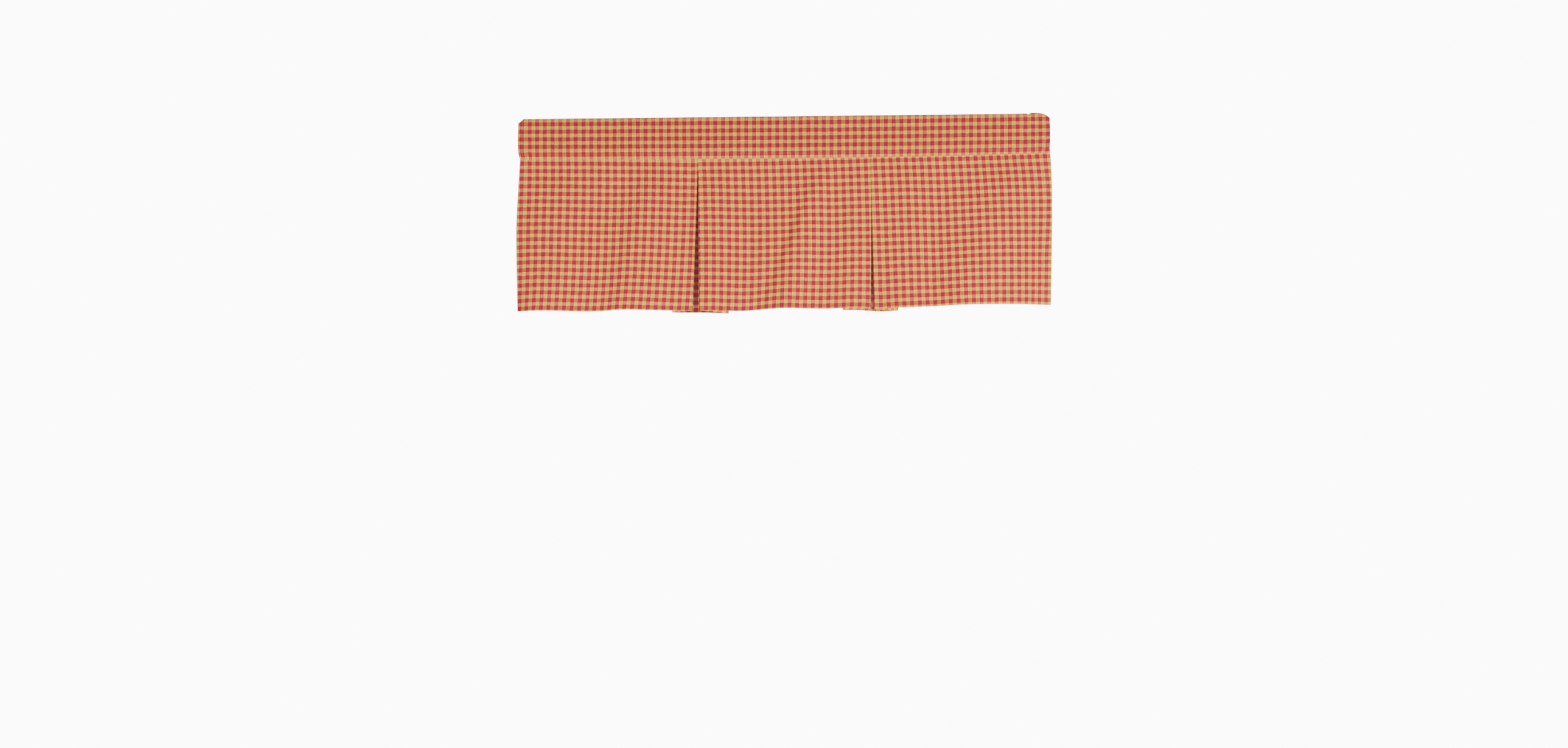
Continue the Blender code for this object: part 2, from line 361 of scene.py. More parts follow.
    def make(self) -> bpy.types.Material:
        """Return the material.

        Column and row are the place in pitches, a little astray. The threads are the product of a
        sine across and a sine down: its size is how high a thread stands, and its sign says which of
        the two lies on top. The masks of the red columns and rows choose among the four kinds of
        cell, and crown, slubs, mottle, clouds and borders change the lightness; the crown's part is
        painted shade between the threads. The vertex attribute adds painted light inside the pleats
        and painted shade along their hidden hem.
        """
        nodes = Nodes(bpy.data.materials.new(self.name))
        place, along, down = nodes.cloth_place()
        aslant, lengthways = self.wander_scale
        column = along / self.pitch_across + (nodes.noise(place, aslant, lengthways) - 0.5) * self.wander
        row = down / self.pitch_down + (nodes.noise(place, lengthways, aslant) - 0.5) * self.wander
        red_column = self._stripe(column, self.red_across)
        red_row = self._stripe(row, self.red_down)
        over = (column * (pi * self.threads)).sine() * (row * (pi * self.threads)).sine()
        crown = over.absolute() - 4 / pi ** 2
        lengthwise = over.above(-self.weave_turn, self.weave_turn)
        pairs = self.threads / self.pitch_across * 0.5
        slub_down = nodes.noise(place, pairs, self.slub_scale)
        slub_across = nodes.noise(place, self.slub_scale, pairs)
        slubs = slub_down + slub_across - 1.0
        mottle = nodes.noise(place, self.mottle_scale, self.mottle_scale) - 0.5
        clouds = nodes.noise(place, self.cloud_scale, self.cloud_scale, detail=2.0) - 0.5

        aside = (column + 0.5).from_half()
        apart = (row + 0.5).from_half()
        mid_across = aside.below(*self.rim)
        mid_down = apart.below(*self.rim)
        floats = self._floats(column, row) * (self.float_cover + mottle * self.float_patchy)
        gold = nodes.mix(mid_across * mid_down, self.gold_rim, self.gold)
        salmon = nodes.mix(lengthwise, self.salmon_pale, self.salmon_deep)
        salmon = nodes.mix(floats, salmon, self.float_pale)
        salmon = nodes.mix(mid_down, self.salmon_rim, salmon)
        orange = nodes.mix(lengthwise, self.orange_deep, self.orange_pale)
        orange = nodes.mix(mid_across, self.orange_rim, orange)
        in_gold_row = nodes.mix(red_column, gold, salmon)
        in_red_row = nodes.mix(red_column, orange, self.red)
        check = nodes.mix(red_row, in_gold_row, in_red_row)
        # the crown's term is painted shade: lighter on each thread's top, darker in the gaps between
        # threads
        uneven = (1.0 + crown * self.crown_painted_shade + slubs * self.slub_shade
                  + mottle * self.mottle_shade + clouds * self.cloud_shade)
        level = self.level * uneven
        for border_mask in (aside.within(self.border_across), apart.within(self.border_down)):
            level = level * (1.0 - border_mask * self.border_shade)

        relief = crown + slubs * self.slub_relief
        bump = nodes.add("ShaderNodeBump", inputs={"Strength": 0.4, "Distance": 0.0002, "Height": relief})
        # below 0 the attribute darkens the cloth as painted shade along the pleats' hidden hem; above 0 it
        # mixes in the pale film of painted light inside the pleats
        painted_light_and_shade = nodes.add("ShaderNodeAttribute", {"attribute_name": PAINTED_LIGHT_MAP}, output="Fac")
        coloured = nodes.tinted(check, level * (1.0 - painted_light_and_shade.below(-1.0, 0.0) * self.painted_shade_share))
        return nodes.finish({
            "Base Color": nodes.mix(painted_light_and_shade * self.painted_light_share, coloured, self.painted_light),
            "Roughness": self.roughness + slubs * self.slub_roughness,
            "Normal": bump,
            "Specular IOR Level": 0.22,
            "Sheen Weight": 0.08,
            "Sheen Roughness": 0.6,
        })


@dataclass(frozen=True)
class SewingThread:
    """Twisted cotton sewing thread in a plain tan."""

    name: str
    colour: Colour = (0.52, 0.275, 0.0625, 1.0)
    shade: Colour = (0.33, 0.158, 0.0375, 1.0)
    twist: float = 2600.0               # turns of light and dark to the metre
    slant: tuple[float, float, float] = (1.0, 0.4, 1.0)     # the way in which they follow each other
    roughness: float = 0.7
    ply_roughness: float = 0.1          # how much rougher its light parts are

    def make(self) -> bpy.types.Material:
        """Return the material: light and dark run slantwise round the thread."""
        nodes = Nodes(bpy.data.materials.new(self.name))
        place = nodes.add("ShaderNodeTexCoord", output="Object")
        slant = nodes.add("ShaderNodeVectorMath", {"operation": "DOT_PRODUCT"},
                          {0: place, 1: self.slant}, output="Value")
        ply = (slant * (2 * pi * self.twist)).sine() * 0.5 + 0.5
        bump = nodes.add("ShaderNodeBump", inputs={"Strength": 0.4, "Distance": 0.0001, "Height": ply})
        return nodes.finish({
            "Base Color": nodes.mix(ply, self.shade, self.colour),
            "Roughness": self.roughness + ply * self.ply_roughness,
            "Normal": bump,
            "Specular IOR Level": 0.3,
        })


@dataclass(frozen=True)
class PaleFloor:
    """Matt pale floor that glows a little, so that it stays pale away from the lamps."""

    name: str
    colour: Colour = (0.86, 0.86, 0.85, 1.0)
    roughness: float = 0.8
    glow: float = 0.46

    def make(self) -> bpy.types.Material:
        """Return the material."""
        return Nodes(bpy.data.materials.new(self.name)).finish({
            "Base Color": self.colour,
            "Roughness": self.roughness,
            "Emission Color": self.colour,
            "Emission Strength": self.glow,
        })


# ---------------------------------------------------------------------------------------------
# Meshes from arrays
# ---------------------------------------------------------------------------------------------
def mesh_object(name: str, points: Array, faces: Array, places: Array | None = None,
                painted_light_and_shade: Array | None = None) -> bpy.types.Object:
    """Put arrays into a new object's mesh.

    Args:
        name: the object's name.
        points: vertices, n by 3.
        faces: quads as vertex numbers, m by 4.
        places: UV of every corner of every quad in metres, m by 4 by 2.
        painted_light_and_shade: painted light (above 0) or painted shade (below 0) at each vertex.

    Returns:
        The object, shaded smooth and linked to the scene.
    """
    mesh = bpy.data.meshes.new(name)
    mesh.vertices.add(len(points))
    mesh.vertices.foreach_set("co", points.astype(np.float32).ravel())
    mesh.loops.add(faces.size)
    mesh.loops.foreach_set("vertex_index", faces.astype(np.int32).ravel())
    mesh.polygons.add(len(faces))
    mesh.polygons.foreach_set("loop_start", np.arange(0, faces.size, 4, dtype=np.int32))
    if places is not None:
        cloth = mesh.uv_layers.new(name=CLOTH_MAP)
        cloth.data.foreach_set("uv", places.astype(np.float32).ravel())
    if painted_light_and_shade is not None:
        layer = mesh.attributes.new(PAINTED_LIGHT_MAP, "FLOAT", "POINT")
        layer.data.foreach_set("value", painted_light_and_shade.astype(np.float32))
    mesh.update(calc_edges=True)
    mesh.validate()
    mesh.shade_smooth()
    obj = bpy.data.objects.new(name, mesh)
    bpy.context.scene.collection.objects.link(obj)
    return obj


def corner_values(values: Array) -> Array:
    """Return a grid's values at the corners of its quads: a corner, the point below it, and round."""
    corners = (values[:-1, :-1], values[1:, :-1], values[1:, 1:], values[:-1, 1:])
    return np.stack(corners, axis=2).reshape(-1, 4, values.shape[-1])


def border(values: Array) -> Array:
    """Return a grid's border values once round: top, right, bottom, left."""
    return np.concatenate([values[0, :-1], values[:-1, -1], values[-1, :0:-1], values[:0:-1, 0]])


def ring_quads(one: Array, other: Array) -> Array:
    """Return the corners of the quads between two closed rings: vertex numbers or values."""
    return np.stack([one, np.roll(one, -1, 0), np.roll(other, -1, 0), other], axis=1)


@dataclass
class ThickSheet:
    """Cloth with a face and a back, on a grid of rows by columns, rounded along its four edges."""

    name: str
    middle: Array           # rows by columns by 3
    place: Array            # cloth coordinates, rows by columns by 2
    face_half: float        # from the middle to the face
    back_half: Array        # from the middle to the back, rows by columns
    turned: Array           # rows-1 by columns-1: where the back shows a turned hem
    turned_place: Array     # cloth coordinates of the hem's own layer, rows by columns by 2
    painted_light_and_shade: Array | None = None   # painted light or painted shade on the face, rows by columns
    rim_rings: int = 3      # rings between the face and the back along each edge

    def frame_of(self) -> tuple[Array, Array, Array]:
        """Return each point's direction across the columns, down the rows, and out of the face.

        The directions are central differences of the grid, and the normal is their cross product.
        """
        down, across = (unit(np.gradient(self.middle, axis=axis)) for axis in (0, 1))
        return across, down, unit(np.cross(down, across))

    def sides(self) -> tuple[Array, Array, Array]:
        """Return the points of the face and of the back, and the direction out of the face."""
        _, _, normal = self.frame_of()
        face = self.middle + normal * self.face_half
        return face, self.middle - normal * self.back_half[..., None], normal

    def build(self) -> bpy.types.Object:
        """Return the sheet as one closed mesh.

        Face and back are the middle moved along the normal n. Each edge is a half-round between
        them: centre + half * (n cos a + o sin a), o pointing out of the edge, a from 0 to half a turn.
        """
        across, down, _ = self.frame_of()
        face, back, normal = self.sides()
        half = (self.face_half + self.back_half[..., None]) / 2
        outward = np.zeros_like(self.middle)
        flat_out = np.zeros_like(self.place)
        for edge, way, flat in ((np.s_[0, :], -down, (0.0, -1.0)), (np.s_[-1, :], down, (0.0, 1.0)),
                                (np.s_[:, 0], -across, (-1.0, 0.0)), (np.s_[:, -1], across, (1.0, 0.0))):
            outward[edge] += way[edge]
            flat_out[edge] += flat
        rim_out, rim_normal, rim_half = border(unit(outward)), border(normal), border(half)
        rim_centre = border((face + back) / 2)
        angles = pi * np.arange(1, self.rim_rings + 1) / (self.rim_rings + 1)
        rim = [rim_centre + rim_half * (rim_normal * np.cos(a) + rim_out * np.sin(a)) for a in angles]

        per_side = self.middle[..., 0].size
        grid = np.arange(per_side).reshape(self.middle.shape[:2])[..., None]
        edge_grid = border(grid).ravel()
        around = np.arange(len(edge_grid))
        between = [2 * per_side + number * len(around) + around for number in range(self.rim_rings)]
        rings = [edge_grid, *between, per_side + edge_grid]
        face_quads = corner_values(grid)[..., 0]
        quads = [face_quads, per_side + face_quads[:, ::-1]]
        plain = corner_values(self.place)
        hem = corner_values(self.turned_place)
        places = [plain, np.where(self.turned.reshape(-1, 1, 1), hem, plain)[:, ::-1]]
        step = rim_half * pi / (self.rim_rings + 1)
        edge_place, edge_out = border(self.place), border(flat_out)
        for number, (here, there) in enumerate(zip(rings, rings[1:])):
            near = edge_place + edge_out * step * number
            far = edge_place + edge_out * step * (number + 1)
            quads.append(ring_quads(here, there))
            places.append(ring_quads(near, far))
        points = np.concatenate([face.reshape(-1, 3), back.reshape(-1, 3), *rim])
        painted_light_and_shade = None
        if self.painted_light_and_shade is not None:
            rim_painted_light_and_shade = np.tile(border(self.painted_light_and_shade[..., None]).ravel(), self.rim_rings)
            painted_light_and_shade = np.concatenate([self.painted_light_and_shade.ravel(), np.zeros(per_side), rim_painted_light_and_shade])
        return mesh_object(self.name, points, np.concatenate(quads), np.concatenate(places), painted_light_and_shade)


# ---------------------------------------------------------------------------------------------
# The valance's common lines
# ---------------------------------------------------------------------------------------------
class Stray(NamedTuple):
    """How far the check strays from a straight grid on a stretch of cloth, in pitches.

    Each line holds the left end, the middle and the right end; parabolas join them.
    """

    top: tuple[float, float, float]
    halfway: tuple[float, float, float]
    bottom: tuple[float, float, float]

    def at(self, share: Array, fall: Array) -> Array:
        """Return the straying at a share of the stretch and a share of the drop."""
        return bowed(tuple(bowed(line, share) for line in self), fall)


@dataclass(frozen=True)
class ValanceLines:
    """Sizes that the heading band and the skirt share."""

    half_width: float = 0.635
    band_drop: float = 0.0992           # top edge down to the seam, at the middle
    seam_rise_left: float = 0.0030      # how much higher the seam runs at the left end
    seam_rise_right: float = 0.0060     # how much higher it runs at the right end
    plumb_lean: float = 0.0108          # the cloth leans from square by this slope
    thickness: float = 0.0007           # a single layer of the cotton

    def seam_height(self, x: Array | float) -> Array:
        """Return the seam's height: the drop, less a square rise to the left and a cube to the right."""
        share = np.asarray(x) / self.half_width
        rise = np.where(share < 0, self.seam_rise_left * share ** 2, self.seam_rise_right * share ** 3)
        return rise - self.band_drop

    def lean(self, points: Array) -> Array:
        """Return points moved sideways in proportion to their height."""
        leant = points.copy()
        leant[..., 0] += self.plumb_lean * points[..., 2]
        return leant


# ---------------------------------------------------------------------------------------------
# Sewing
# ---------------------------------------------------------------------------------------------
@dataclass
class SewnLine:
    """A run of stitches: short capsules of thread that rise out of the cloth and dip back into it."""

    name: str
    thread: bpy.types.Material
    length: float = 0.0024
    gap: float = 0.0010
    radius: float = 0.00022
    arch: float = 1.3       # how high a stitch's middle line rises, in radii
    sink: float = 0.9       # how deep the line's ends lie in the cloth, in radii
    taper: float = 0.85     # how much of the radius squared is lost at the ends
    look: float = 0.001     # how far ahead and behind its direction is read
    sides: int = 6
    rings: int = 5

    def along(self, path: Array, normals: Array) -> tuple[Array, Array, Array]:
        """Space stitches evenly along a path.

        Args:
            path: points on the cloth, n by 3.
            normals: the way out of the cloth at each, n by 3.

        Returns:
            The stitches' middles, directions and normals.
        """
        lengths = run_lengths(path[None])[0]
        pitch = self.length + self.gap
        count = int((lengths[-1] - self.length) // pitch)
        at = self.length / 2 + pitch * np.arange(count + 1)
        ahead, behind = (sampled(path, lengths, at + shift) for shift in (self.look, -self.look))
        return sampled(path, lengths, at), unit(ahead - behind), unit(sampled(normals, lengths, at))

    def build(self, paths: list[tuple[Array, Array]]) -> bpy.types.Object:
        """Make the stitches along several paths.

        A stitch's middle line is an arch, height = arch * (1 - t^2) - sink, and its radius goes with
        the root of 1 - taper * t^2, t running from -1 to 1 along it.

        Args:
            paths: points and normals of each path.

        Returns:
            All the stitches as one mesh.
        """
        spots, ways, outs = (np.concatenate(part) for part in zip(*(self.along(*path) for path in paths)))
        across = np.cross(ways, outs)
        share = np.linspace(-1.0, 1.0, self.rings)
        height = self.radius * (self.arch * (1.0 - share ** 2) - self.sink)
        thick = self.radius * np.sqrt(1.0 - self.taper * share ** 2)
        angle = 2 * pi * np.arange(self.sides) / self.sides
        centre = (spots[:, None] + ways[:, None] * (share * self.length / 2)[None, :, None]
                  + outs[:, None] * height[None, :, None])
        spoke = (outs[:, None] * np.cos(angle)[None, :, None]
                 + across[:, None] * np.sin(angle)[None, :, None])
        points = centre[:, :, None] + spoke[:, None] * thick[None, :, None, None]

        ring, side = np.meshgrid(np.arange(self.rings - 1), np.arange(self.sides), indexing="ij")
        following = (side + 1) % self.sides
        sleeve = np.stack([ring * self.sides + side, ring * self.sides + following,
                           (ring + 1) * self.sides + following, (ring + 1) * self.sides + side], axis=-1)
        far = (self.rings - 1) * self.sides
        caps = np.array([[3, 2, 1, 0], [5, 4, 3, 0], [far, far + 1, far + 2, far + 3],
                         [far, far + 3, far + 4, far + 5]])
        one = np.concatenate([sleeve.reshape(-1, 4), caps])
        starts = np.arange(len(spots)) * self.rings * self.sides
        faces = (one[None] + starts[:, None, None]).reshape(-1, 4)
        made = mesh_object(self.name, points.reshape(-1, 3), faces)
        made.data.materials.append(self.thread)
        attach(made, "root")
        LOG.info("%s: %d stitches", self.name, len(spots))
        return made


# ---------------------------------------------------------------------------------------------
# Heading band
# ---------------------------------------------------------------------------------------------
class Corner(NamedTuple):
    """How the top edge falls away towards one end: fall * t^power, t running from 0 to 1."""

    length: float
    fall: float
    power: float


@dataclass
class HeadingBand:
    """A strip of the check folded over at the top, its two edges meeting along the seam."""

    lines: ValanceLines
    cloth: bpy.types.Material
    thread: bpy.types.Material
    pocket_radius: float = 0.00645      # half the pocket's depth, to the middle of the cloth
    pocket_drop: float = 0.079          # top edge to the end of the flat stretch
    front_at_seam: float = 0.0018       # from the middle of the seam to the front layer
    back_at_seam: float = 0.0028        # from the middle of the seam to the back layer
    allowance: float = 0.008            # turned in along both lower edges
    end_hem: float = 0.010              # turned in at both ends
    seam_clear: float = 0.0005          # how far the lower edges end above the seam's line
    end_bow: float = 0.0015             # how far the ends stand out at mid-height
    end_reach: float = 0.05             # distance inwards over which that fades
    pinch_left: float = 0.0025          # how far the seam draws the left end in
    pinch_right: float = 0.0010
    pinch_from: float = 0.75            # share of the drop where it begins to
    inset_left: float = 0.0038          # how far the ends stand back from the full half width
    inset_right: float = 0.0036
    wave: float = 0.0006                # unevenness of the flat face
    wave_rate: float = 9.0              # its radians to the metre
    wave_start: float = 0.6             # and its phase in the middle
    ripple: float = 0.00035             # finer unevenness, outwards on both layers at once
    ripple_rate: float = 47.0
    ripple_warp: tuple[float, float] = (3.0, 11.0)      # how far its phase strays, and at what rate
    top_rise: float = 0.0006            # how far the top edge stands above the height 0
    left_corner: Corner = Corner(length=0.0116, fall=0.0095, power=1.0)
    right_corner: Corner = Corner(length=0.024, fall=0.0100, power=2.4)
    notch_x: float = 0.5815             # a small dip in the top edge
    notch_depth: float = 0.0026
    notch_spread: float = 0.0028
    hump_x: float = 0.597               # a slight swell of the top edge before the right corner
    hump_height: float = 0.0020
    hump_spread: float = 0.016
    check_across: float = 35.36 * PITCH_ACROSS          # cloth coordinate at the middle of the band
    stray_down: Stray = Stray((0.55, 0.43, 0.53), (0.56, 0.41, 0.53), (0.55, 0.39, 0.56))
    draw_left: float = 0.0025           # how far the left end hem draws the check outwards
    draw_width: float = 0.030           # and over what width
    hem_marks: tuple[float, ...] = (0.0, 0.0015, 0.003, 0.0045, 0.006, 0.0075)  # columns in a hem
    past_marks: tuple[float, ...] = (0.013, 0.016, 0.019, 0.022, 0.025)         # and beside it
    hem_step: float = 0.0007            # distance over which an end hem gets its thickness
    even_from: float = 0.028            # from the ends to the even columns
    columns: int = 300                  # even columns
    notch_columns: int = 15             # closer columns round the notch
    notch_half: float = 2.5             # half the width that they cover, in spreads of the notch
    notch_clear: float = 2.7            # half the width without even columns, in spreads
    slope_rows: int = 12                # rows from the seam to the pocket, on each layer
    wall_rows: int = 20                 # rows down the pocket's flat side
    top_rows: int = 14                  # rows over the top
    edge_step: float = 0.03             # share of the slope over which the turned allowance ends
    stitched_row: int = 3               # the back layer's row that the seam's stitches follow

    def top(self, x: Array) -> Array:
        """Return the height of the top edge: it falls at both corners, and has one dip and one swell."""
        falls = -self.top_rise
        for corner, distance in ((self.left_corner, x + self.lines.half_width),
                                 (self.right_corner, self.lines.half_width - x)):
            share = np.clip(1.0 - distance / corner.length, 0.0, 1.0)
            falls = falls + corner.fall * share ** corner.power
        hump = self.hump_height * swell((x - self.hump_x) / self.hump_spread)
        return hump - falls - self.notch_depth * swell((x - self.notch_x) / self.notch_spread)

    def columns_at(self) -> Array:
        """Return x of each column: even, but with a close pair where each end hem begins, and more
        columns near the ends and the notch."""
        half = self.lines.half_width
        ends = half - np.array([*self.hem_marks, self.end_hem, self.end_hem + self.hem_step,
                                *self.past_marks])
        spreads = np.linspace(-self.notch_half, self.notch_half, self.notch_columns)
        near_notch = self.notch_x + self.notch_spread * spreads
        even = np.linspace(self.even_from - half, half - self.even_from, self.columns)
        even = even[np.abs(even - self.notch_x) > self.notch_clear * self.notch_spread]
        return np.sort(np.concatenate([-ends, even, near_notch, ends]))

    def section(self, x: Array) -> tuple[Array, Array, Array]:
        """Return the strip's middle round from its back lower edge to its front lower edge.

        Slope: the depth eases from the seam's to the pocket's as the height rises, and two close rows
        mark where the turned allowance ends. Wall: straight. Top: a half-round of the pocket's radius.

        Args:
            x: one position for each column.

        Returns:
            Depth y, height z and the strip's own distance below the top fold, negative behind it,
            each rows by columns.
        """
        radius = self.pocket_radius
        top = self.top(x)
        edge_share = self.allowance / (self.lines.band_drop - self.pocket_drop)
        edge_rows = (edge_share, edge_share + self.edge_step)
        slope = np.sort([*np.linspace(0.0, 1.0, self.slope_rows), *edge_rows])[:, None]
        wall = np.linspace(0.0, 1.0, self.wall_rows)[1:-1, None]
        angle = np.linspace(0.0, pi, self.top_rows)[:, None]
        slope_z = blend(self.lines.seam_height(x) + self.seam_clear, -self.pocket_drop, slope)
        wall_z = blend(-self.pocket_drop, top - radius, wall)
        slope_back, slope_front = (blend(start, radius, ease(slope))
                                   for start in (self.back_at_seam, self.front_at_seam))
        wall_y = np.full_like(wall, radius)
        y = np.concatenate([slope_back, wall_y, radius * np.cos(angle), -wall_y, -slope_front[::-1]])
        z = np.concatenate([slope_z, wall_z, top - radius + radius * np.sin(angle), wall_z[::-1],
                            slope_z[::-1]])
        strip = np.sign(-y) * (radius * pi / 2 + (top - radius - z))
        first = len(slope) + len(wall)
        strip[first:first + len(angle)] = radius * (angle - pi / 2)
        return np.broadcast_to(y, z.shape), z, strip - top

    def build(self) -> bpy.types.Object:
        """Return the band as one sheet with its end hems and lower edges turned in."""
        lines = self.lines
        x = self.columns_at()
        depth, height, strip = self.section(x)
        down = -height / lines.band_drop
        from_left = x + lines.half_width
        from_right = lines.half_width - x
        near_left, near_right = (ease(1.0 - far / self.end_reach) for far in (from_left, from_right))
        arch = np.sin(pi * np.clip(down, 0.0, 1.0))
        bow = self.end_bow * arch
        drawn = ease((down - self.pinch_from) / (1.0 - self.pinch_from))
        aside = (near_right * (bow - self.inset_right - self.pinch_right * drawn)
                 - near_left * (bow - self.inset_left - self.pinch_left * drawn))
        flat_arch = np.sin(pi * np.minimum(1.0, -height / self.pocket_drop))
        wave = self.wave * np.sin(self.wave_rate * x + self.wave_start) * flat_arch
        warp, warp_rate = self.ripple_warp
        ripple = self.ripple * np.sin(self.ripple_rate * x + warp * np.sin(warp_rate * x)) * arch
        depth = depth + wave + ripple * np.sign(-depth)
        middle = lines.lean(np.stack([x + aside, depth, height], axis=-1))

        share = from_left / (2 * lines.half_width)
        stray = self.stray_down.at(share, np.clip(down, 0.0, 1.0)) * PITCH_DOWN
        drawn_out = self.draw_left * ease(1.0 - from_left / self.draw_width)
        place = np.stack(np.broadcast_arrays(x + self.check_across + drawn_out, strip + stray), axis=-1)
        in_hem = np.minimum(from_left, from_right) <= self.end_hem + TOUCH
        edge_rows = np.minimum(height - height[0], height - height[-1]) <= self.allowance + TOUCH
        edge_u = np.where(x < 0, place[0, 0, 0], place[0, -1, 0])
        turned = place.copy()
        turned[..., 0] = np.where(in_hem, 2 * edge_u - place[..., 0], place[..., 0])
        hem_columns = np.tile(in_hem[:-1] & in_hem[1:], (len(depth) - 1, 1))
        half = lines.thickness / 2
        sheet = ThickSheet("valance_heading_band", middle, place, half,
                           half + lines.thickness * (in_hem | edge_rows), hem_columns, turned)
        band = sheet.build()
        band.data.materials.append(self.cloth)
        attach(band, "root")
        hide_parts("heading_band")
        LOG.info("heading band: %d faces", len(band.data.polygons))
        self._declare(sheet)
        return band

    def _declare(self, sheet: ThickSheet) -> None:
        """Sew the band's seam stitching along its back layer and the stitching of its end hems.

        Args:
            sheet: the grid that it was made from.
        """
        face, _, normal = sheet.sides()
        row, column = self.stitched_row, len(self.hem_marks)
        stitches = SewnLine("band_back_stitching", self.thread).build([(face[row], normal[row])])
        ends = [(face[:, c], normal[:, c]) for c in (column, -1 - column)]
        end_stitches = SewnLine("band_end_stitching", self.thread).build(ends)
        width = 2 * (self.lines.half_width + self.end_hem)
        length = 2 * (self.lines.band_drop + self.allowance) + self.pocket_radius


# ---------------------------------------------------------------------------------------------
# Skirt
# ---------------------------------------------------------------------------------------------
class Pleat(NamedTuple):
    """An inverted box pleat. Swings are sideways moves between the seam and the hem."""

    x: float             # where the two lips meet at the seam
    left_swing: float    # move of the left lip
    right_swing: float   # move of the right lip
    swing_power: float   # how late the lips part: 1 is straight, more is later
    sway: float          # how far both lips stand to the right halfway down
    left_depth: float    # from the slit to the hidden fold at its left
    right_depth: float   # from the slit to the hidden fold at its right
    spread_top: float    # face to underlay near the seam
    spread_hem: float    # face to underlay at the hem
    droop_left: float    # how much lower the underlay hangs at its left fold
    droop_right: float   # how much lower it hangs at its right fold
    check_across: float  # how far the check behind the slit is moved, in pitches
    check_down: float
    painted_light: float          # how strongly painted light lifts the shade inside it


class Fold(NamedTuple):
    """A soft ridge (reach above 0) or trough (below 0) that runs down the skirt.

    Only a part of the reach is kept as relief. Seen from the front and below, the rest of it would
    raise the line of the hem, and there the cloth hangs that much shorter instead.
    """

    name: str
    x_top: float         # middle of the fold at the seam
    x_hem: float         # middle of the fold at the hem
    left: float          # how far it spreads to the left
    right: float         # how far it spreads to the right
    reach_top: float     # how far it stands towards the viewer near the seam
    reach_hem: float     # how far it stands towards the viewer at the hem
    kept: float          # the part of the reach that is kept


class Crease(NamedTuple):
    """A shallow step in the cloth along a slanting line, its right side standing forward."""

    x_seam: float        # where the line would meet the seam
    x_hem: float         # where it meets the hem
    width: float         # half its width
    slope: float         # steepness in its middle
    start: float         # share of the drop where it begins
    full: float          # share of the drop where it is deepest
    at_hem: float        # part of its slope that is left at the hem
    pull: float          # how far it draws the rows of the check, up on its right, in pitches
    reach: float         # how far to its sides the rows are drawn


class PanelCheck(NamedTuple):
    """Where the check lies on one face panel, in pitches."""

    start: float         # cloth coordinate of the panel's left end at the seam
    across: Stray
    down: Stray


class Run(NamedTuple):
    """A flat stretch of the skirt's plan. Ends are (x, depth behind the face, droop), by row."""

    start: tuple
    end: tuple

    def at(self, share: Array) -> tuple[Array, Array, Array, Array]:
        """Return x, depth, droop and the x whose soft folds it follows, at shares of the stretch."""
        x, depth, droop = (blend(a, b, share) for a, b in zip(self.start, self.end))
        return x, depth, droop, x


class Turn(NamedTuple):
    """A pressed fold: a half-round of the skirt's plan."""

    x: Array             # middle of the half-round, by row
    depth: Array
    droop: float
    side: float          # 1 where it bulges to the right, -1 to the left
    way: float           # 1 where the cloth runs backwards round it, -1 forwards
    radius: Array

    def at(self, share: Array) -> tuple[Array, Array, Array, Array]:
        """Return x, depth, droop and the x whose soft folds it follows, at shares of the half-round."""
        angle = pi * share
        x = self.x + self.side * self.radius * np.sin(angle)
        return x, self.depth - self.way * self.radius * np.cos(angle), self.droop, self.x


class Kind(Enum):
    """What a stretch of the skirt is."""

    PANEL = "panel"
    TURN = "turn"
    LEAF = "leaf"
    UNDERLAY = "underlay"


class Span(NamedTuple):
    """The columns of the grid that a stretch of the skirt takes."""

    kind: Kind
    first: int
    last: int


def spans_of(spans: list[Span], kind: Kind) -> list[tuple[int, int]]:
    """Return the first and the last column of every stretch of one kind."""
    return [(span.first, span.last) for span in spans if span.kind is kind]


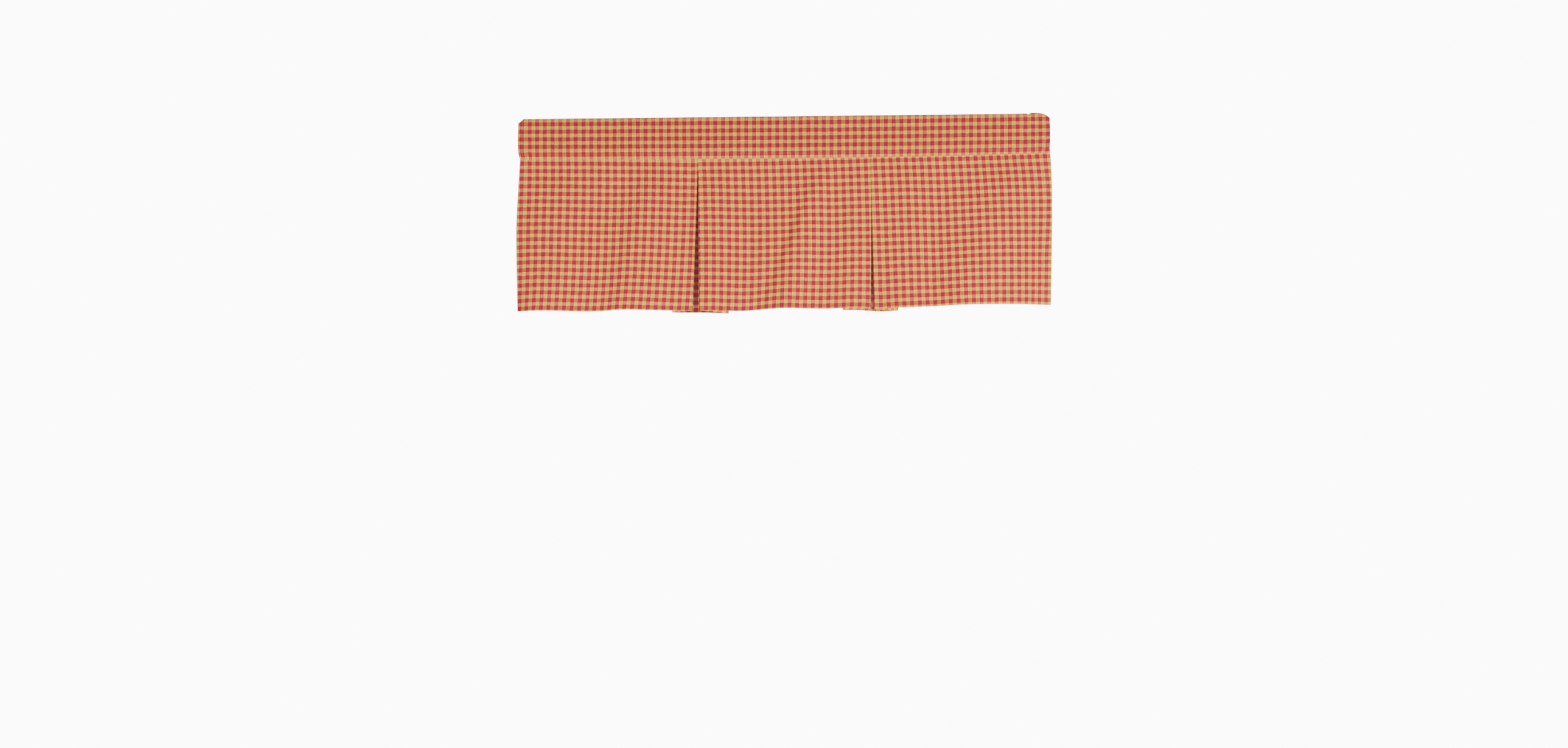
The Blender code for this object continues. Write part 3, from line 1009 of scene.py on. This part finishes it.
@dataclass
class PleatedSkirt:
    """One width of the check with two inverted box pleats, side hems and a turned-up bottom hem."""

    lines: ValanceLines
    cloth: bpy.types.Material
    thread: bpy.types.Material
    drop: float = 0.3582                # seam down to the hem
    longer_left: float = 0.0019         # how much longer the cloth is at its left end
    tuck: float = 0.0085                # cloth above the seam, between the band's two layers
    hem_depth: float = 0.026            # height of the bottom hem
    side_hem: float = 0.015             # width of the side hems
    topstitch: float = 0.012            # from a side edge to its stitching
    sewn_from: float = 0.004            # share of the drop where that stitching begins
    hem_extra: float = 0.0011           # thickness that the turned layers add behind
    hem_step: float = 0.0008            # distance over which a hem gets its thickness
    hem_slack: float = 0.0002           # a point this far past a hem's end still counts as in it
    lip_gap: float = 0.0006             # between the two lips of a pleat at the seam
    edge_bow_left: float = 0.0035       # how far the left edge bows out at mid-height
    edge_bow_right: float = 0.0030
    pinch_left: float = 0.0072          # how far the left end is drawn in at the seam
    pinch_right: float = 0.0015
    pinch_fades_left: float = 0.55      # share of the drop by which the pinch has faded
    pinch_fades_right: float = 0.26
    flare_right: float = 0.0025         # how far the right edge stands out at the hem
    bow_power: float = 0.7              # below 1, an edge bows out most above mid-height
    seam_clear: float = 0.00015         # how far the drop begins below the seam's line
    face_ahead: float = 0.0008          # how far the face stands ahead of the middle of the seam
    folds_begin: float = 0.26           # part of the drop over which the soft folds form
    hem_lift: float = 0.15              # how much shorter the cloth hangs, by reach given up
    radius_top: float = 0.00065         # pressed folds under the seam
    radius_below: float = 0.0008        # pressed folds further down
    radius_by: float = 0.25             # share of the drop by which they have grown
    spread_in_seam: float = 0.0024      # face to underlay inside the seam
    spread_by: float = 0.2              # share of the drop by which the seam stops pressing on it
    pucker: float = 0.00022             # height of the fine gathers under the seam
    pucker_pitch: float = 0.0117        # from one to the next
    pucker_warp: tuple[float, float] = (2.0, 21.0)      # how far their phase strays, and at what rate
    pucker_swell: tuple[float, float] = (33.0, 1.0)     # rate and phase of their changes in height
    pucker_share: float = 0.4           # part of the height that changes
    pucker_fades: float = 0.014         # distance below the seam over which they fade
    pucker_begins: float = 0.004        # and over which they form
    dimple: float = 0.00018             # depth of the dimples where the hem is caught
    dimple_width: float = 0.0022        # half the height of their row
    dimple_pitch: float = 0.0126        # from one to the next
    dimple_share: float = 0.45          # part of their depth that comes and goes
    tuck_rows: tuple[float, ...] = (1.0, 0.66, 0.33)    # rows inside the seam, as shares of the tuck
    close_rows: tuple[float, ...] = (0.0, 0.0012, 0.0024, 0.0036, 0.005, 0.0065, 0.008, 0.010,
                                     0.012, 0.015, 0.018, 0.022)    # and close under it, in metres
    rows: int = 64                      # even rows down to the hem
    hem_rows: int = 8
    side_marks: tuple[float, ...] = (0.0, 0.003, 0.006, 0.009)  # columns outside the topstitch
    mark_clear: float = 0.3             # least distance from them to the even columns, in spacings
    panel_columns: int = 130
    leaf_columns: int = 10
    underlay_columns: int = 18
    turn_columns: int = 8
    pleats: tuple[Pleat, ...] = (
        Pleat(x=-0.2055, left_swing=-0.0125, right_swing=0.0030, swing_power=1.2, sway=0.0,
              left_depth=0.0610, right_depth=0.0720, spread_top=0.0050, spread_hem=0.0180,
              droop_left=0.0024, droop_right=0.0040, check_across=0.68, check_down=0.03, painted_light=1.25),
        Pleat(x=0.2065, left_swing=0.0000, right_swing=0.0088, swing_power=2.4, sway=0.0017,
              left_depth=0.0650, right_depth=0.0655, spread_top=0.0050, spread_hem=0.0180,
              droop_left=0.0020, droop_right=0.0044, check_across=-0.28, check_down=0.08, painted_light=3.0),
    )
    folds: tuple[Fold, ...] = (
        Fold("left edge turn", -0.660, -0.660, 0.035, 0.035, -0.002, -0.012, 0.9),
        Fold("left corner", -0.560, -0.583, 0.050, 0.062, 0.0, 0.0118, 1.0),
        Fold("left trough", -0.385, -0.460, 0.060, 0.050, -0.007, -0.008, 0.35),
        Fold("left ridge", -0.310, -0.383, 0.040, 0.068, 0.009, 0.018, 0.43),
        Fold("left lip", -0.240, -0.245, 0.035, 0.045, -0.002, -0.005, 0.8),
        Fold("left lip edge", -0.229, -0.232, 0.014, 0.012, 0.0010, 0.0016, 1.0),
        Fold("middle left ridge", -0.165, -0.165, 0.030, 0.035, 0.006, -0.001, 0.6),
        Fold("middle trough", -0.050, -0.100, 0.060, 0.040, -0.009, -0.022, 0.2),
        Fold("middle ridge", 0.090, -0.001, 0.030, 0.045, 0.011, 0.014, 0.70),
        Fold("middle dip", 0.118, 0.100, 0.022, 0.024, -0.004, -0.003, 0.6),
        Fold("middle right ridge", 0.160, 0.165, 0.024, 0.024, 0.004, 0.005, 0.6),
        Fold("right lip", 0.228, 0.230, 0.028, 0.030, -0.002, -0.018, 0.5),
        Fold("right shoulder", 0.258, 0.250, 0.050, 0.035, 0.0030, 0.0, 1.0),
        Fold("right first ridge", 0.290, 0.330, 0.035, 0.035, 0.006, 0.006, 0.6),
        Fold("right dip", 0.385, 0.345, 0.030, 0.025, -0.005, -0.003, 0.6),
        Fold("right ridge", 0.545, 0.425, 0.070, 0.080, 0.014, 0.025, 0.45),
        Fold("right hem rise", 0.525, 0.525, 0.070, 0.060, 0.0, 0.014, 0.0),
        Fold("right edge turn", 0.665, 0.665, 0.060, 0.060, -0.007, -0.030, 0.5),
    )
    creases: tuple[Crease, ...] = (
        Crease(x_seam=0.088, x_hem=-0.0535, width=0.0165, slope=0.255, start=0.04, full=0.60,
               at_hem=0.9, pull=0.10, reach=0.065),
        Crease(x_seam=0.150, x_hem=0.139, width=0.014, slope=0.08, start=0.05, full=0.45,
               at_hem=0.5, pull=0.0, reach=0.03),
        Crease(x_seam=-0.335, x_hem=-0.413, width=0.015, slope=0.07, start=0.02, full=0.40,
               at_hem=0.4, pull=0.0, reach=0.03),
    )
    painted_shade_from: float = 0.965            # share of the drop from which the hidden cloth is darkened with painted shade
    painted_shade_eases: float = 0.02            # share of the drop over which that painted shade begins
    draw_right: float = 0.45            # how far the right side hem draws the check in, in pitches
    draw_width: float = 0.080           # over what width it does so
    draw_from: float = 0.25             # share of the drop where that begins
    draw_eases: float = 0.5             # share of the drop over which it begins
    pull_eases: float = 0.3             # share of the drop over which a crease's pull begins
    check: tuple[PanelCheck, ...] = (
        PanelCheck(0.31, Stray((-0.02, -0.03, -0.11), (-0.38, -0.30, -0.18), (-0.08, 0.17, 0.00)),
                   Stray((6.00, 5.93, 5.70), (5.96, 5.88, 5.73), (5.82, 5.91, 5.78))),
        PanelCheck(37.8, Stray((-0.03, 0.01, 0.11), (-0.23, -0.18, -0.10), (-0.13, 0.01, -0.17)),
                   Stray((5.81, 5.85, 6.02), (5.86, 5.77, 6.02), (5.77, 5.87, 5.95))),
        PanelCheck(75.04, Stray((0.0, 0.02, 0.07), (-0.30, -0.26, -0.34), (-0.35, -0.42, -0.40)),
                   Stray((6.05, 6.07, 6.05), (6.08, 6.03, 6.16), (6.01, 6.04, 6.15))),
    )

    def side_draw(self, from_edge: Array, fall: Array) -> Array:
        """Return how far the right side hem draws the check towards itself, in pitches: it eases in
        with the distance from the edge and with the drop."""
        begun = ease((fall - self.draw_from) / self.draw_eases)
        return self.draw_right * ease(1.0 - from_edge / self.draw_width) * begun

    def edge_bow(self, fall: Array, bow: float, pinch: float, fades: float) -> Array:
        """Return how far a side edge stands out.

        Args:
            fall: share of the drop.
            bow: how far it bows out.
            pinch: how far the seam draws it in.
            fades: share of the drop by which the pinch has eased away.

        Returns:
            bow * sin(pi * fall^bow_power) less the pinch.
        """
        held = np.maximum(fall, 0.0)
        return bow * np.sin(pi * held ** self.bow_power) - pinch * (1.0 - ease(fall / fades))

    def plan(self, fall: Array) -> list[tuple[Kind, "Run | Turn"]]:
        """Return the skirt's plan, left to right along the cloth.

        Args:
            fall: each row's share of the drop, rows by 1.

        Returns:
            The kind of each stretch, and the stretch.
        """
        held = np.clip(fall, 0.0, 1.0)
        radius = blend(self.radius_top, self.radius_below, ease(held / self.radius_by))
        half = self.lines.half_width
        bow_left = self.edge_bow(fall, self.edge_bow_left, self.pinch_left, self.pinch_fades_left)
        bow_right = self.edge_bow(fall, self.edge_bow_right, self.pinch_right, self.pinch_fades_right)
        start = (-half - bow_left, 0.0, 0.0)
        plan = []
        for pleat in self.pleats:
            opened = held ** pleat.swing_power
            inset = radius + (self.lip_gap + self.lines.thickness) / 2
            parting = pleat.x + bowed((0.0, pleat.sway, 0.0), held)
            left_lip = parting + pleat.left_swing * opened - inset
            right_lip = parting + pleat.right_swing * opened + inset
            left_fold = pleat.x - pleat.left_depth + radius
            right_fold = pleat.x + pleat.right_depth - radius
            pressed = (pleat.spread_top - self.spread_in_seam) * (1.0 - ease(held / self.spread_by))
            spread = blend(pleat.spread_top, pleat.spread_hem, held) - pressed
            left, right = pleat.droop_left, pleat.droop_right
            plan += [
                (Kind.PANEL, Run(start, (left_lip, 0.0, 0.0))),
                (Kind.TURN, Turn(left_lip, radius, 0.0, 1.0, 1.0, radius)),
                (Kind.LEAF, Run((left_lip, 2 * radius, 0.0), (left_fold, spread - 2 * radius, left))),
                (Kind.TURN, Turn(left_fold, spread - radius, left, -1.0, 1.0, radius)),
                (Kind.UNDERLAY, Run((left_fold, spread, left), (right_fold, spread, right))),
                (Kind.TURN, Turn(right_fold, spread - radius, right, 1.0, -1.0, radius)),
                (Kind.LEAF, Run((right_fold, spread - 2 * radius, right), (right_lip, 2 * radius, 0.0))),
                (Kind.TURN, Turn(right_lip, radius, 0.0, -1.0, -1.0, radius)),
            ]
            start = (right_lip, 0.0, 0.0)
        plan.append((Kind.PANEL, Run(start, (half + bow_right + self.flare_right * held, 0.0, 0.0))))
        return plan

    def shares(self, kind: Kind, width: float, left_end: bool, right_end: bool) -> Array:
        """Return where a stretch's columns lie, as shares of it.

        Args:
            kind: what the stretch is.
            width: its width in metres.
            left_end: whether it begins at the skirt's left edge.
            right_end: whether it ends at the skirt's right edge.

        Returns:
            Shares from 0 to 1. At a side edge they include the stitching and the hem's step.
        """
        count = {Kind.PANEL: self.panel_columns, Kind.TURN: self.turn_columns,
                 Kind.LEAF: self.leaf_columns, Kind.UNDERLAY: self.underlay_columns}[kind]
        even = np.linspace(0.0, 1.0, count + 1)
        marks = np.array([*self.side_marks, self.topstitch, self.side_hem,
                          self.side_hem + self.hem_step]) / width
        clear = marks[-1] + self.mark_clear / count
        if left_end:
            even = np.concatenate([marks, even[even > clear]])
        if right_end:
            even = np.concatenate([even[even < 1.0 - clear], 1.0 - marks[::-1]])
        return even

    def falls(self) -> Array:
        """Return the rows as shares of the drop: from inside the seam, close under it, to the hem."""
        tucked = -self.tuck / self.drop * np.array(self.tuck_rows)
        close = np.array(self.close_rows) / self.drop
        hem_top = 1.0 - self.hem_depth / self.drop
        body = np.linspace(close[-1], hem_top - self.hem_step / self.drop, self.rows)[1:]
        hem = np.linspace(hem_top, 1.0, self.hem_rows)
        return np.concatenate([tucked, close, body, hem])[:, None]

    def in_hem(self, fall: Array) -> Array:
        """Return which rows the bottom hem covers."""
        return fall[:, 0] >= 1.0 - (self.hem_depth + self.hem_slack) / self.drop

    def fold_reach(self, x: Array, fall: Array) -> tuple[Array, Array]:
        """Return how far the soft folds bring the cloth forward.

        A fold's reach times the bell of the distance from its middle eases in under the seam.

        Args:
            x: across the skirt.
            fall: share of the drop.

        Returns:
            The relief that is kept, and the rest.
        """
        kept, given_up = 0.0, 0.0
        for fold in self.folds:
            middle = blend(fold.x_top, fold.x_hem, fall)
            spread = np.where(x < middle, fold.left, fold.right)
            reach = blend(fold.reach_top, fold.reach_hem, fall) * swell((x - middle) / spread)
            kept = kept + reach * fold.kept
            given_up = given_up + reach * (1.0 - fold.kept)
        begun = ease(fall / self.folds_begin)
        return kept * begun, given_up * begun

    def crease_reach(self, x: Array, fall: Array) -> Array:
        """Return the relief of the creases: slope * distance * the bell of the distance, which grows
        from the crease's start to its fullest and falls off again towards the hem."""
        reach = 0.0
        for crease in self.creases:
            distance = x - blend(crease.x_seam, crease.x_hem, fall)
            grown = ease((fall - crease.start) / (crease.full - crease.start))
            faded = blend(1.0, crease.at_hem, ease((fall - crease.full) / (1.0 - crease.full)))
            reach = reach + crease.slope * grown * faded * distance * swell(distance / crease.width)
        return reach

    def crease_pull(self, x: Array, fall: Array) -> Array:
        """Return how far the creases draw the rows of the check, in pitches: pull * distance * the
        bell of the distance, growing from the crease's start."""
        pulled = 0.0
        for crease in self.creases:
            distance = (x - blend(crease.x_seam, crease.x_hem, fall)) / crease.reach
            begun = ease((fall - crease.start) / self.pull_eases)
            pulled = pulled + crease.pull * begun * distance * swell(distance)
        return pulled

    def puckers(self, x: Array, fall: Array) -> Array:
        """Return the fine gathers that the seam draws: short waves that fade below it."""
        (warp, warp_rate), (swell_rate, swell_start) = self.pucker_warp, self.pucker_swell
        wave = np.sin(2 * pi * x / self.pucker_pitch + warp * np.sin(warp_rate * x))
        uneven = 1.0 - self.pucker_share + self.pucker_share * np.sin(swell_rate * x + swell_start)
        below = np.maximum(fall, 0.0) * self.drop
        faded = np.exp(-below / self.pucker_fades) * ease(below / self.pucker_begins)
        return self.pucker * wave * uneven * faded

    def hem_dimples(self, x: Array, fall: Array) -> Array:
        """Return the shallow line of dimples where the hem is caught from behind."""
        row = (fall - (1.0 - self.hem_depth / self.drop)) * self.drop
        wave = self.dimple_share * np.sin(2 * pi * x / self.dimple_pitch)
        return -self.dimple * swell(row / self.dimple_width) * (1.0 - self.dimple_share + wave)

    def cloth_places(self, middle: Array, fall: Array, spans: list[Span]) -> Array:
        """Return the cloth coordinates of the grid.

        Across, a panel or an underlay has the true lengths along the seam, and the hidden leaves
        take up what is left between them. Down, the coordinate is the share of the drop times the
        drop. Each panel's straying is added to both, and what lies behind goes evenly from one
        panel's to the next, plus the pleat's own move. Then come the draws of the right side hem
        and of the creases.

        Args:
            middle: the grid's points.
            fall: each row's share of the drop, rows by 1.
            spans: every stretch's columns.

        Returns:
            Rows by columns by 2.
        """
        seam = int(np.argmax(fall[:, 0] >= 0.0))
        lengths = run_lengths(middle[seam:seam + 1])[0]
        held = np.clip(fall, 0.0, 1.0)
        along = np.zeros_like(lengths)
        stray = np.zeros((2, *middle.shape[:2]))
        panels, underlays = spans_of(spans, Kind.PANEL), spans_of(spans, Kind.UNDERLAY)
        for (first, last), check in zip(panels, self.check):
            here = slice(first, last + 1)
            run = lengths[here] - lengths[first]
            along[here] = run + check.start * PITCH_ACROSS
            stray[0, :, here] = check.across.at(run / run[-1], held) * PITCH_ACROSS
            stray[1, :, here] = check.down.at(run / run[-1], held) * PITCH_DOWN
        edge_run = lengths[-1] - lengths[panels[-1][0]:]
        stray[0, :, panels[-1][0]:] += self.side_draw(edge_run, held) * PITCH_ACROSS
        joined = zip(panels, underlays, panels[1:], self.pleats)
        for (_, before), (first, last), (after, _), pleat in joined:
            centre = (first + last) // 2
            value = (along[before] + along[after]) / 2
            along[first:last + 1] = lengths[first:last + 1] - lengths[centre] + value
            for start, end in ((before, first), (last, after)):
                share = (lengths[start:end + 1] - lengths[start]) / (lengths[end] - lengths[start])
                along[start:end + 1] = blend(along[start], along[end], share)
            share = (lengths[before:after + 1] - lengths[before]) / (lengths[after] - lengths[before])
            stray[..., before:after + 1] = blend(stray[..., before, None], stray[..., after, None], share)
            hidden = np.interp(np.arange(before, after + 1), (before, first, last, after), (0, 1, 1, 0))
            stray[0, :, before:after + 1] += pleat.check_across * PITCH_ACROSS * hidden
            stray[1, :, before:after + 1] += pleat.check_down * PITCH_DOWN * hidden
        plumb_x = middle[..., 0] - self.lines.plumb_lean * middle[..., 2]
        stray[1] += self.crease_pull(plumb_x, held) * PITCH_DOWN
        return np.stack([along + stray[0], fall * self.drop + stray[1]], axis=-1)

    def painted_light_and_shade(self, fall: Array, spans: list[Span]) -> Array:
        """Return the painted light and shade inside the pleats: each pleat's painted light, easing to -1
        along the hem, where painted shade darkens the hidden cloth."""
        painted_marks = np.zeros((len(fall), spans[-1].last + 1))
        leaves = spans_of(spans, Kind.LEAF)
        hem_shade = ease((fall - self.painted_shade_from) / self.painted_shade_eases)
        for pleat, (first, _), (_, last) in zip(self.pleats, leaves[::2], leaves[1::2]):
            painted_marks[:, first:last + 1] = blend(pleat.painted_light, -1.0, hem_shade)
        return painted_marks

    def grid(self) -> tuple[Array, Array, list[Span]]:
        """Return the middle of the cloth, each row's share of the drop, and the stretches' columns."""
        fall = self.falls()
        plan = self.plan(fall)
        parts, spans, first = [], [], 0
        for number, (kind, stretch) in enumerate(plan):
            width = float(np.ptp([np.ravel(stretch.at(share)[0])[0] for share in (0.0, 1.0)]))
            shares = self.shares(kind, max(width, TOUCH), number == 0, number == len(plan) - 1)
            shares = shares[1 if number else 0:]
            at = [np.broadcast_to(value, (len(fall), len(shares))) for value in stretch.at(shares[None])]
            parts.append(np.stack(at, axis=-1))
            spans.append(Span(kind, max(first - 1, 0), first + len(shares) - 1))
            first += len(shares)
        x, depth, droop, folds_x = np.moveaxis(np.concatenate(parts, axis=1), -1, 0)
        kept, given_up = self.fold_reach(folds_x, fall)
        lift = given_up * self.hem_lift * np.clip(fall, 0.0, 1.0)
        longer = self.longer_left * np.clip(-x / self.lines.half_width, 0.0, 1.0)
        z = self.lines.seam_height(x) - self.seam_clear - fall * (self.drop + longer + droop) + lift
        reach = (self.face_ahead + kept + self.crease_reach(folds_x, fall)
                 + self.puckers(folds_x, fall) + self.hem_dimples(folds_x, fall))
        return self.lines.lean(np.stack([x, depth - reach, z], axis=-1)), fall, spans

    def build(self) -> bpy.types.Object:
        """Return the skirt as one sheet, with its sewing, in place of the plain one."""
        middle, fall, spans = self.grid()
        place = self.cloth_places(middle, fall, spans)
        lengths = run_lengths(middle)
        from_side = np.minimum(lengths[0], lengths[0, -1] - lengths[0])
        columns_in_hem = from_side <= self.side_hem + self.hem_slack
        rows_in_hem = self.in_hem(fall)
        doubled = columns_in_hem[None, :] | rows_in_hem[:, None]
        half = self.lines.thickness / 2

        on_left = np.arange(place.shape[1]) < place.shape[1] / 2
        side_u = np.where(on_left, place[:, :1, 0], place[:, -1:, 0])
        turned = place.copy()
        turned[..., 0] = np.where(columns_in_hem, 2 * side_u - place[..., 0], place[..., 0])
        bottom_v = place[-1:, :, 1]
        turned[rows_in_hem, :, 0] = place[rows_in_hem, :, 0]
        turned[rows_in_hem, :, 1] = 2 * bottom_v - place[rows_in_hem, :, 1]
        in_rows = rows_in_hem[:-1] & rows_in_hem[1:]
        in_columns = columns_in_hem[:-1] & columns_in_hem[1:]
        sheet = ThickSheet("valance_skirt", middle, place, half, half + self.hem_extra * doubled,
                           in_rows[:, None] | in_columns[None, :], turned, self.painted_light_and_shade(fall, spans))
        skirt = sheet.build()
        skirt.data.materials.append(self.cloth)
        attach(skirt, "root")
        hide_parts("pleated_skirt")
        LOG.info("skirt: %d faces, %.3f m of cloth", len(skirt.data.polygons), lengths[0, -1])
        sewing = self.sew(sheet, fall)
        width = float(lengths[0, -1]) + 2 * self.side_hem
        length = self.drop + self.tuck + self.hem_depth
        return skirt

    def sew(self, sheet: ThickSheet, fall: Array) -> list[bpy.types.Object]:
        """Sew the side hems through and the bottom hem blind.

        Args:
            sheet: the skirt's grid.
            fall: each row's share of the drop, rows by 1.

        Returns:
            The stitching pieces.
        """
        face, back, normal = sheet.sides()
        sewn = fall[:, 0] > self.sewn_from
        column = len(self.side_marks)
        past_hem = column + 3           # past the stitching, the side hem's end and its step
        paths = []
        for c in (column, -1 - column):
            paths.append((face[sewn, c], normal[sewn, c]))
            paths.append((back[sewn, c], -normal[sewn, c]))
        sides = SewnLine("side_hem_stitching", self.thread).build(paths)
        row = int(np.argmax(self.in_hem(fall)))
        inner = slice(past_hem, -past_hem)
        blind = SewnLine("hem_pick_stitching", self.thread, length=0.0030, gap=0.0096)
        hem = blind.build([(back[row, inner], -normal[row, inner])])
        return [sides, hem]


# ---------------------------------------------------------------------------------------------
# Studio
# ---------------------------------------------------------------------------------------------
@dataclass
class SoftLamp:
    """A square area lamp that the camera doesn't see."""

    name: str
    place: tuple[float, float, float]
    aim: tuple[float, float, float]
    power: float
    size: float

    def build(self) -> None:
        """Add the lamp."""
        data = bpy.data.lights.new(self.name, "AREA")
        data.energy = self.power
        data.size = self.size
        lamp = bpy.data.objects.new(self.name, data)
        lamp.location = self.place
        way = Vector(self.aim) - Vector(self.place)
        lamp.rotation_euler = way.to_track_quat("-Z", "Y").to_euler()
        lamp.visible_camera = False
        bpy.context.scene.collection.objects.link(lamp)


@dataclass
class Studio:
    """Pale floor, even white surroundings, soft lamps and the camera."""

    floor: bpy.types.Material
    floor_height: float = -3.3
    floor_half: float = 8.0
    seen_white: float = 14.0            # what the camera sees behind the valance
    ambient: float = 0.29
    camera_place: tuple[float, float, float] = (-0.0108, -3.6, -0.998)
    camera_roll: float = 0.62           # degrees
    metres_per_pixel: float = 0.00145   # at the valance
    pixels: float = 2576.0
    raise_pixels: float = 265.5         # from the picture's middle to the camera's height
    lamps: tuple[SoftLamp, ...] = (
        SoftLamp("key_lamp", (3.6, -3.3, -1.6), (0.1, 0.0, -0.26), 316.0, 1.0),
        SoftLamp("fill_lamp", (-3.2, -3.3, -1.6), (-0.25, 0.0, -0.3), 157.0, 1.6),
        SoftLamp("low_left_lamp", (-0.8, -1.5, -1.6), (-0.5, 0.0, -0.4), 10.0, 1.3),
        SoftLamp("low_right_lamp", (0.9, -1.5, -1.6), (0.6, 0.0, -0.4), 13.0, 1.3),
        SoftLamp("top_lamp", (0.0, 0.9, 2.2), (0.0, 0.0, -0.1), 70.0, 1.8),
        SoftLamp("back_lamp", (-1.0, 2.6, 1.4), (0.0, 0.0, -0.25), 120.0, 1.4),
    )

    def build(self) -> None:
        """Add all of it."""
        square = self.floor_half * np.array([[-1.0, -1.0], [1.0, -1.0], [1.0, 1.0], [-1.0, 1.0]])
        corners = np.column_stack([square, np.full(4, self.floor_height)])
        floor = mesh_object("floor", corners, np.array([[0, 1, 2, 3]]))
        floor.data.materials.append(self.floor)
        for lamp in self.lamps:
            lamp.build()
        self._world()
        self._camera()
        LOG.info("studio: %d lamps", len(self.lamps))

    def _world(self) -> None:
        """Make the surroundings white to the camera, and a weaker white as light."""
        nodes = Nodes(bpy.data.worlds.new("surroundings"))
        light, seen = (nodes.add("ShaderNodeBackground", inputs={"Strength": strength})
                       for strength in (self.ambient, self.seen_white))
        by_camera = nodes.add("ShaderNodeLightPath", output="Is Camera Ray")
        mixed = nodes.add("ShaderNodeMixShader", inputs={0: by_camera, 1: light, 2: seen})
        nodes.add("ShaderNodeOutputWorld", inputs={"Surface": mixed})
        bpy.context.scene.world = nodes.owner

    def _camera(self) -> None:
        """Put the camera level in front of the valance, with its lens shifted upwards."""
        data = bpy.data.cameras.new("camera")
        data.sensor_width = 36.0
        data.lens = data.sensor_width * -self.camera_place[1] / (self.pixels * self.metres_per_pixel)
        data.shift_y = self.raise_pixels / self.pixels
        camera = bpy.data.objects.new("camera", data)
        camera.location = self.camera_place
        camera.rotation_euler = (pi / 2, radians(self.camera_roll), 0.0)
        bpy.context.scene.collection.objects.link(camera)
        bpy.context.scene.camera = camera


def main() -> None:
    """Build the dressed valance and its studio."""
    logging.basicConfig(level=logging.INFO, format="%(message)s")
    lines = ValanceLines()
    thread = SewingThread("tan_thread").make()
    # the heading band's check is a darker copy of the skirt's: its lower level is painted shade
    band_cloth = CheckedCotton("heading_check_painted_shade", level=0.882).make()
    skirt_cloth = CheckedCotton("skirt_check", painted_light_share=0.10).make()
    HeadingBand(lines, band_cloth, thread).build()
    PleatedSkirt(lines, skirt_cloth, thread).build()
    Studio(PaleFloor("pale_floor").make()).build()


if __name__ == "__main__":
    main()
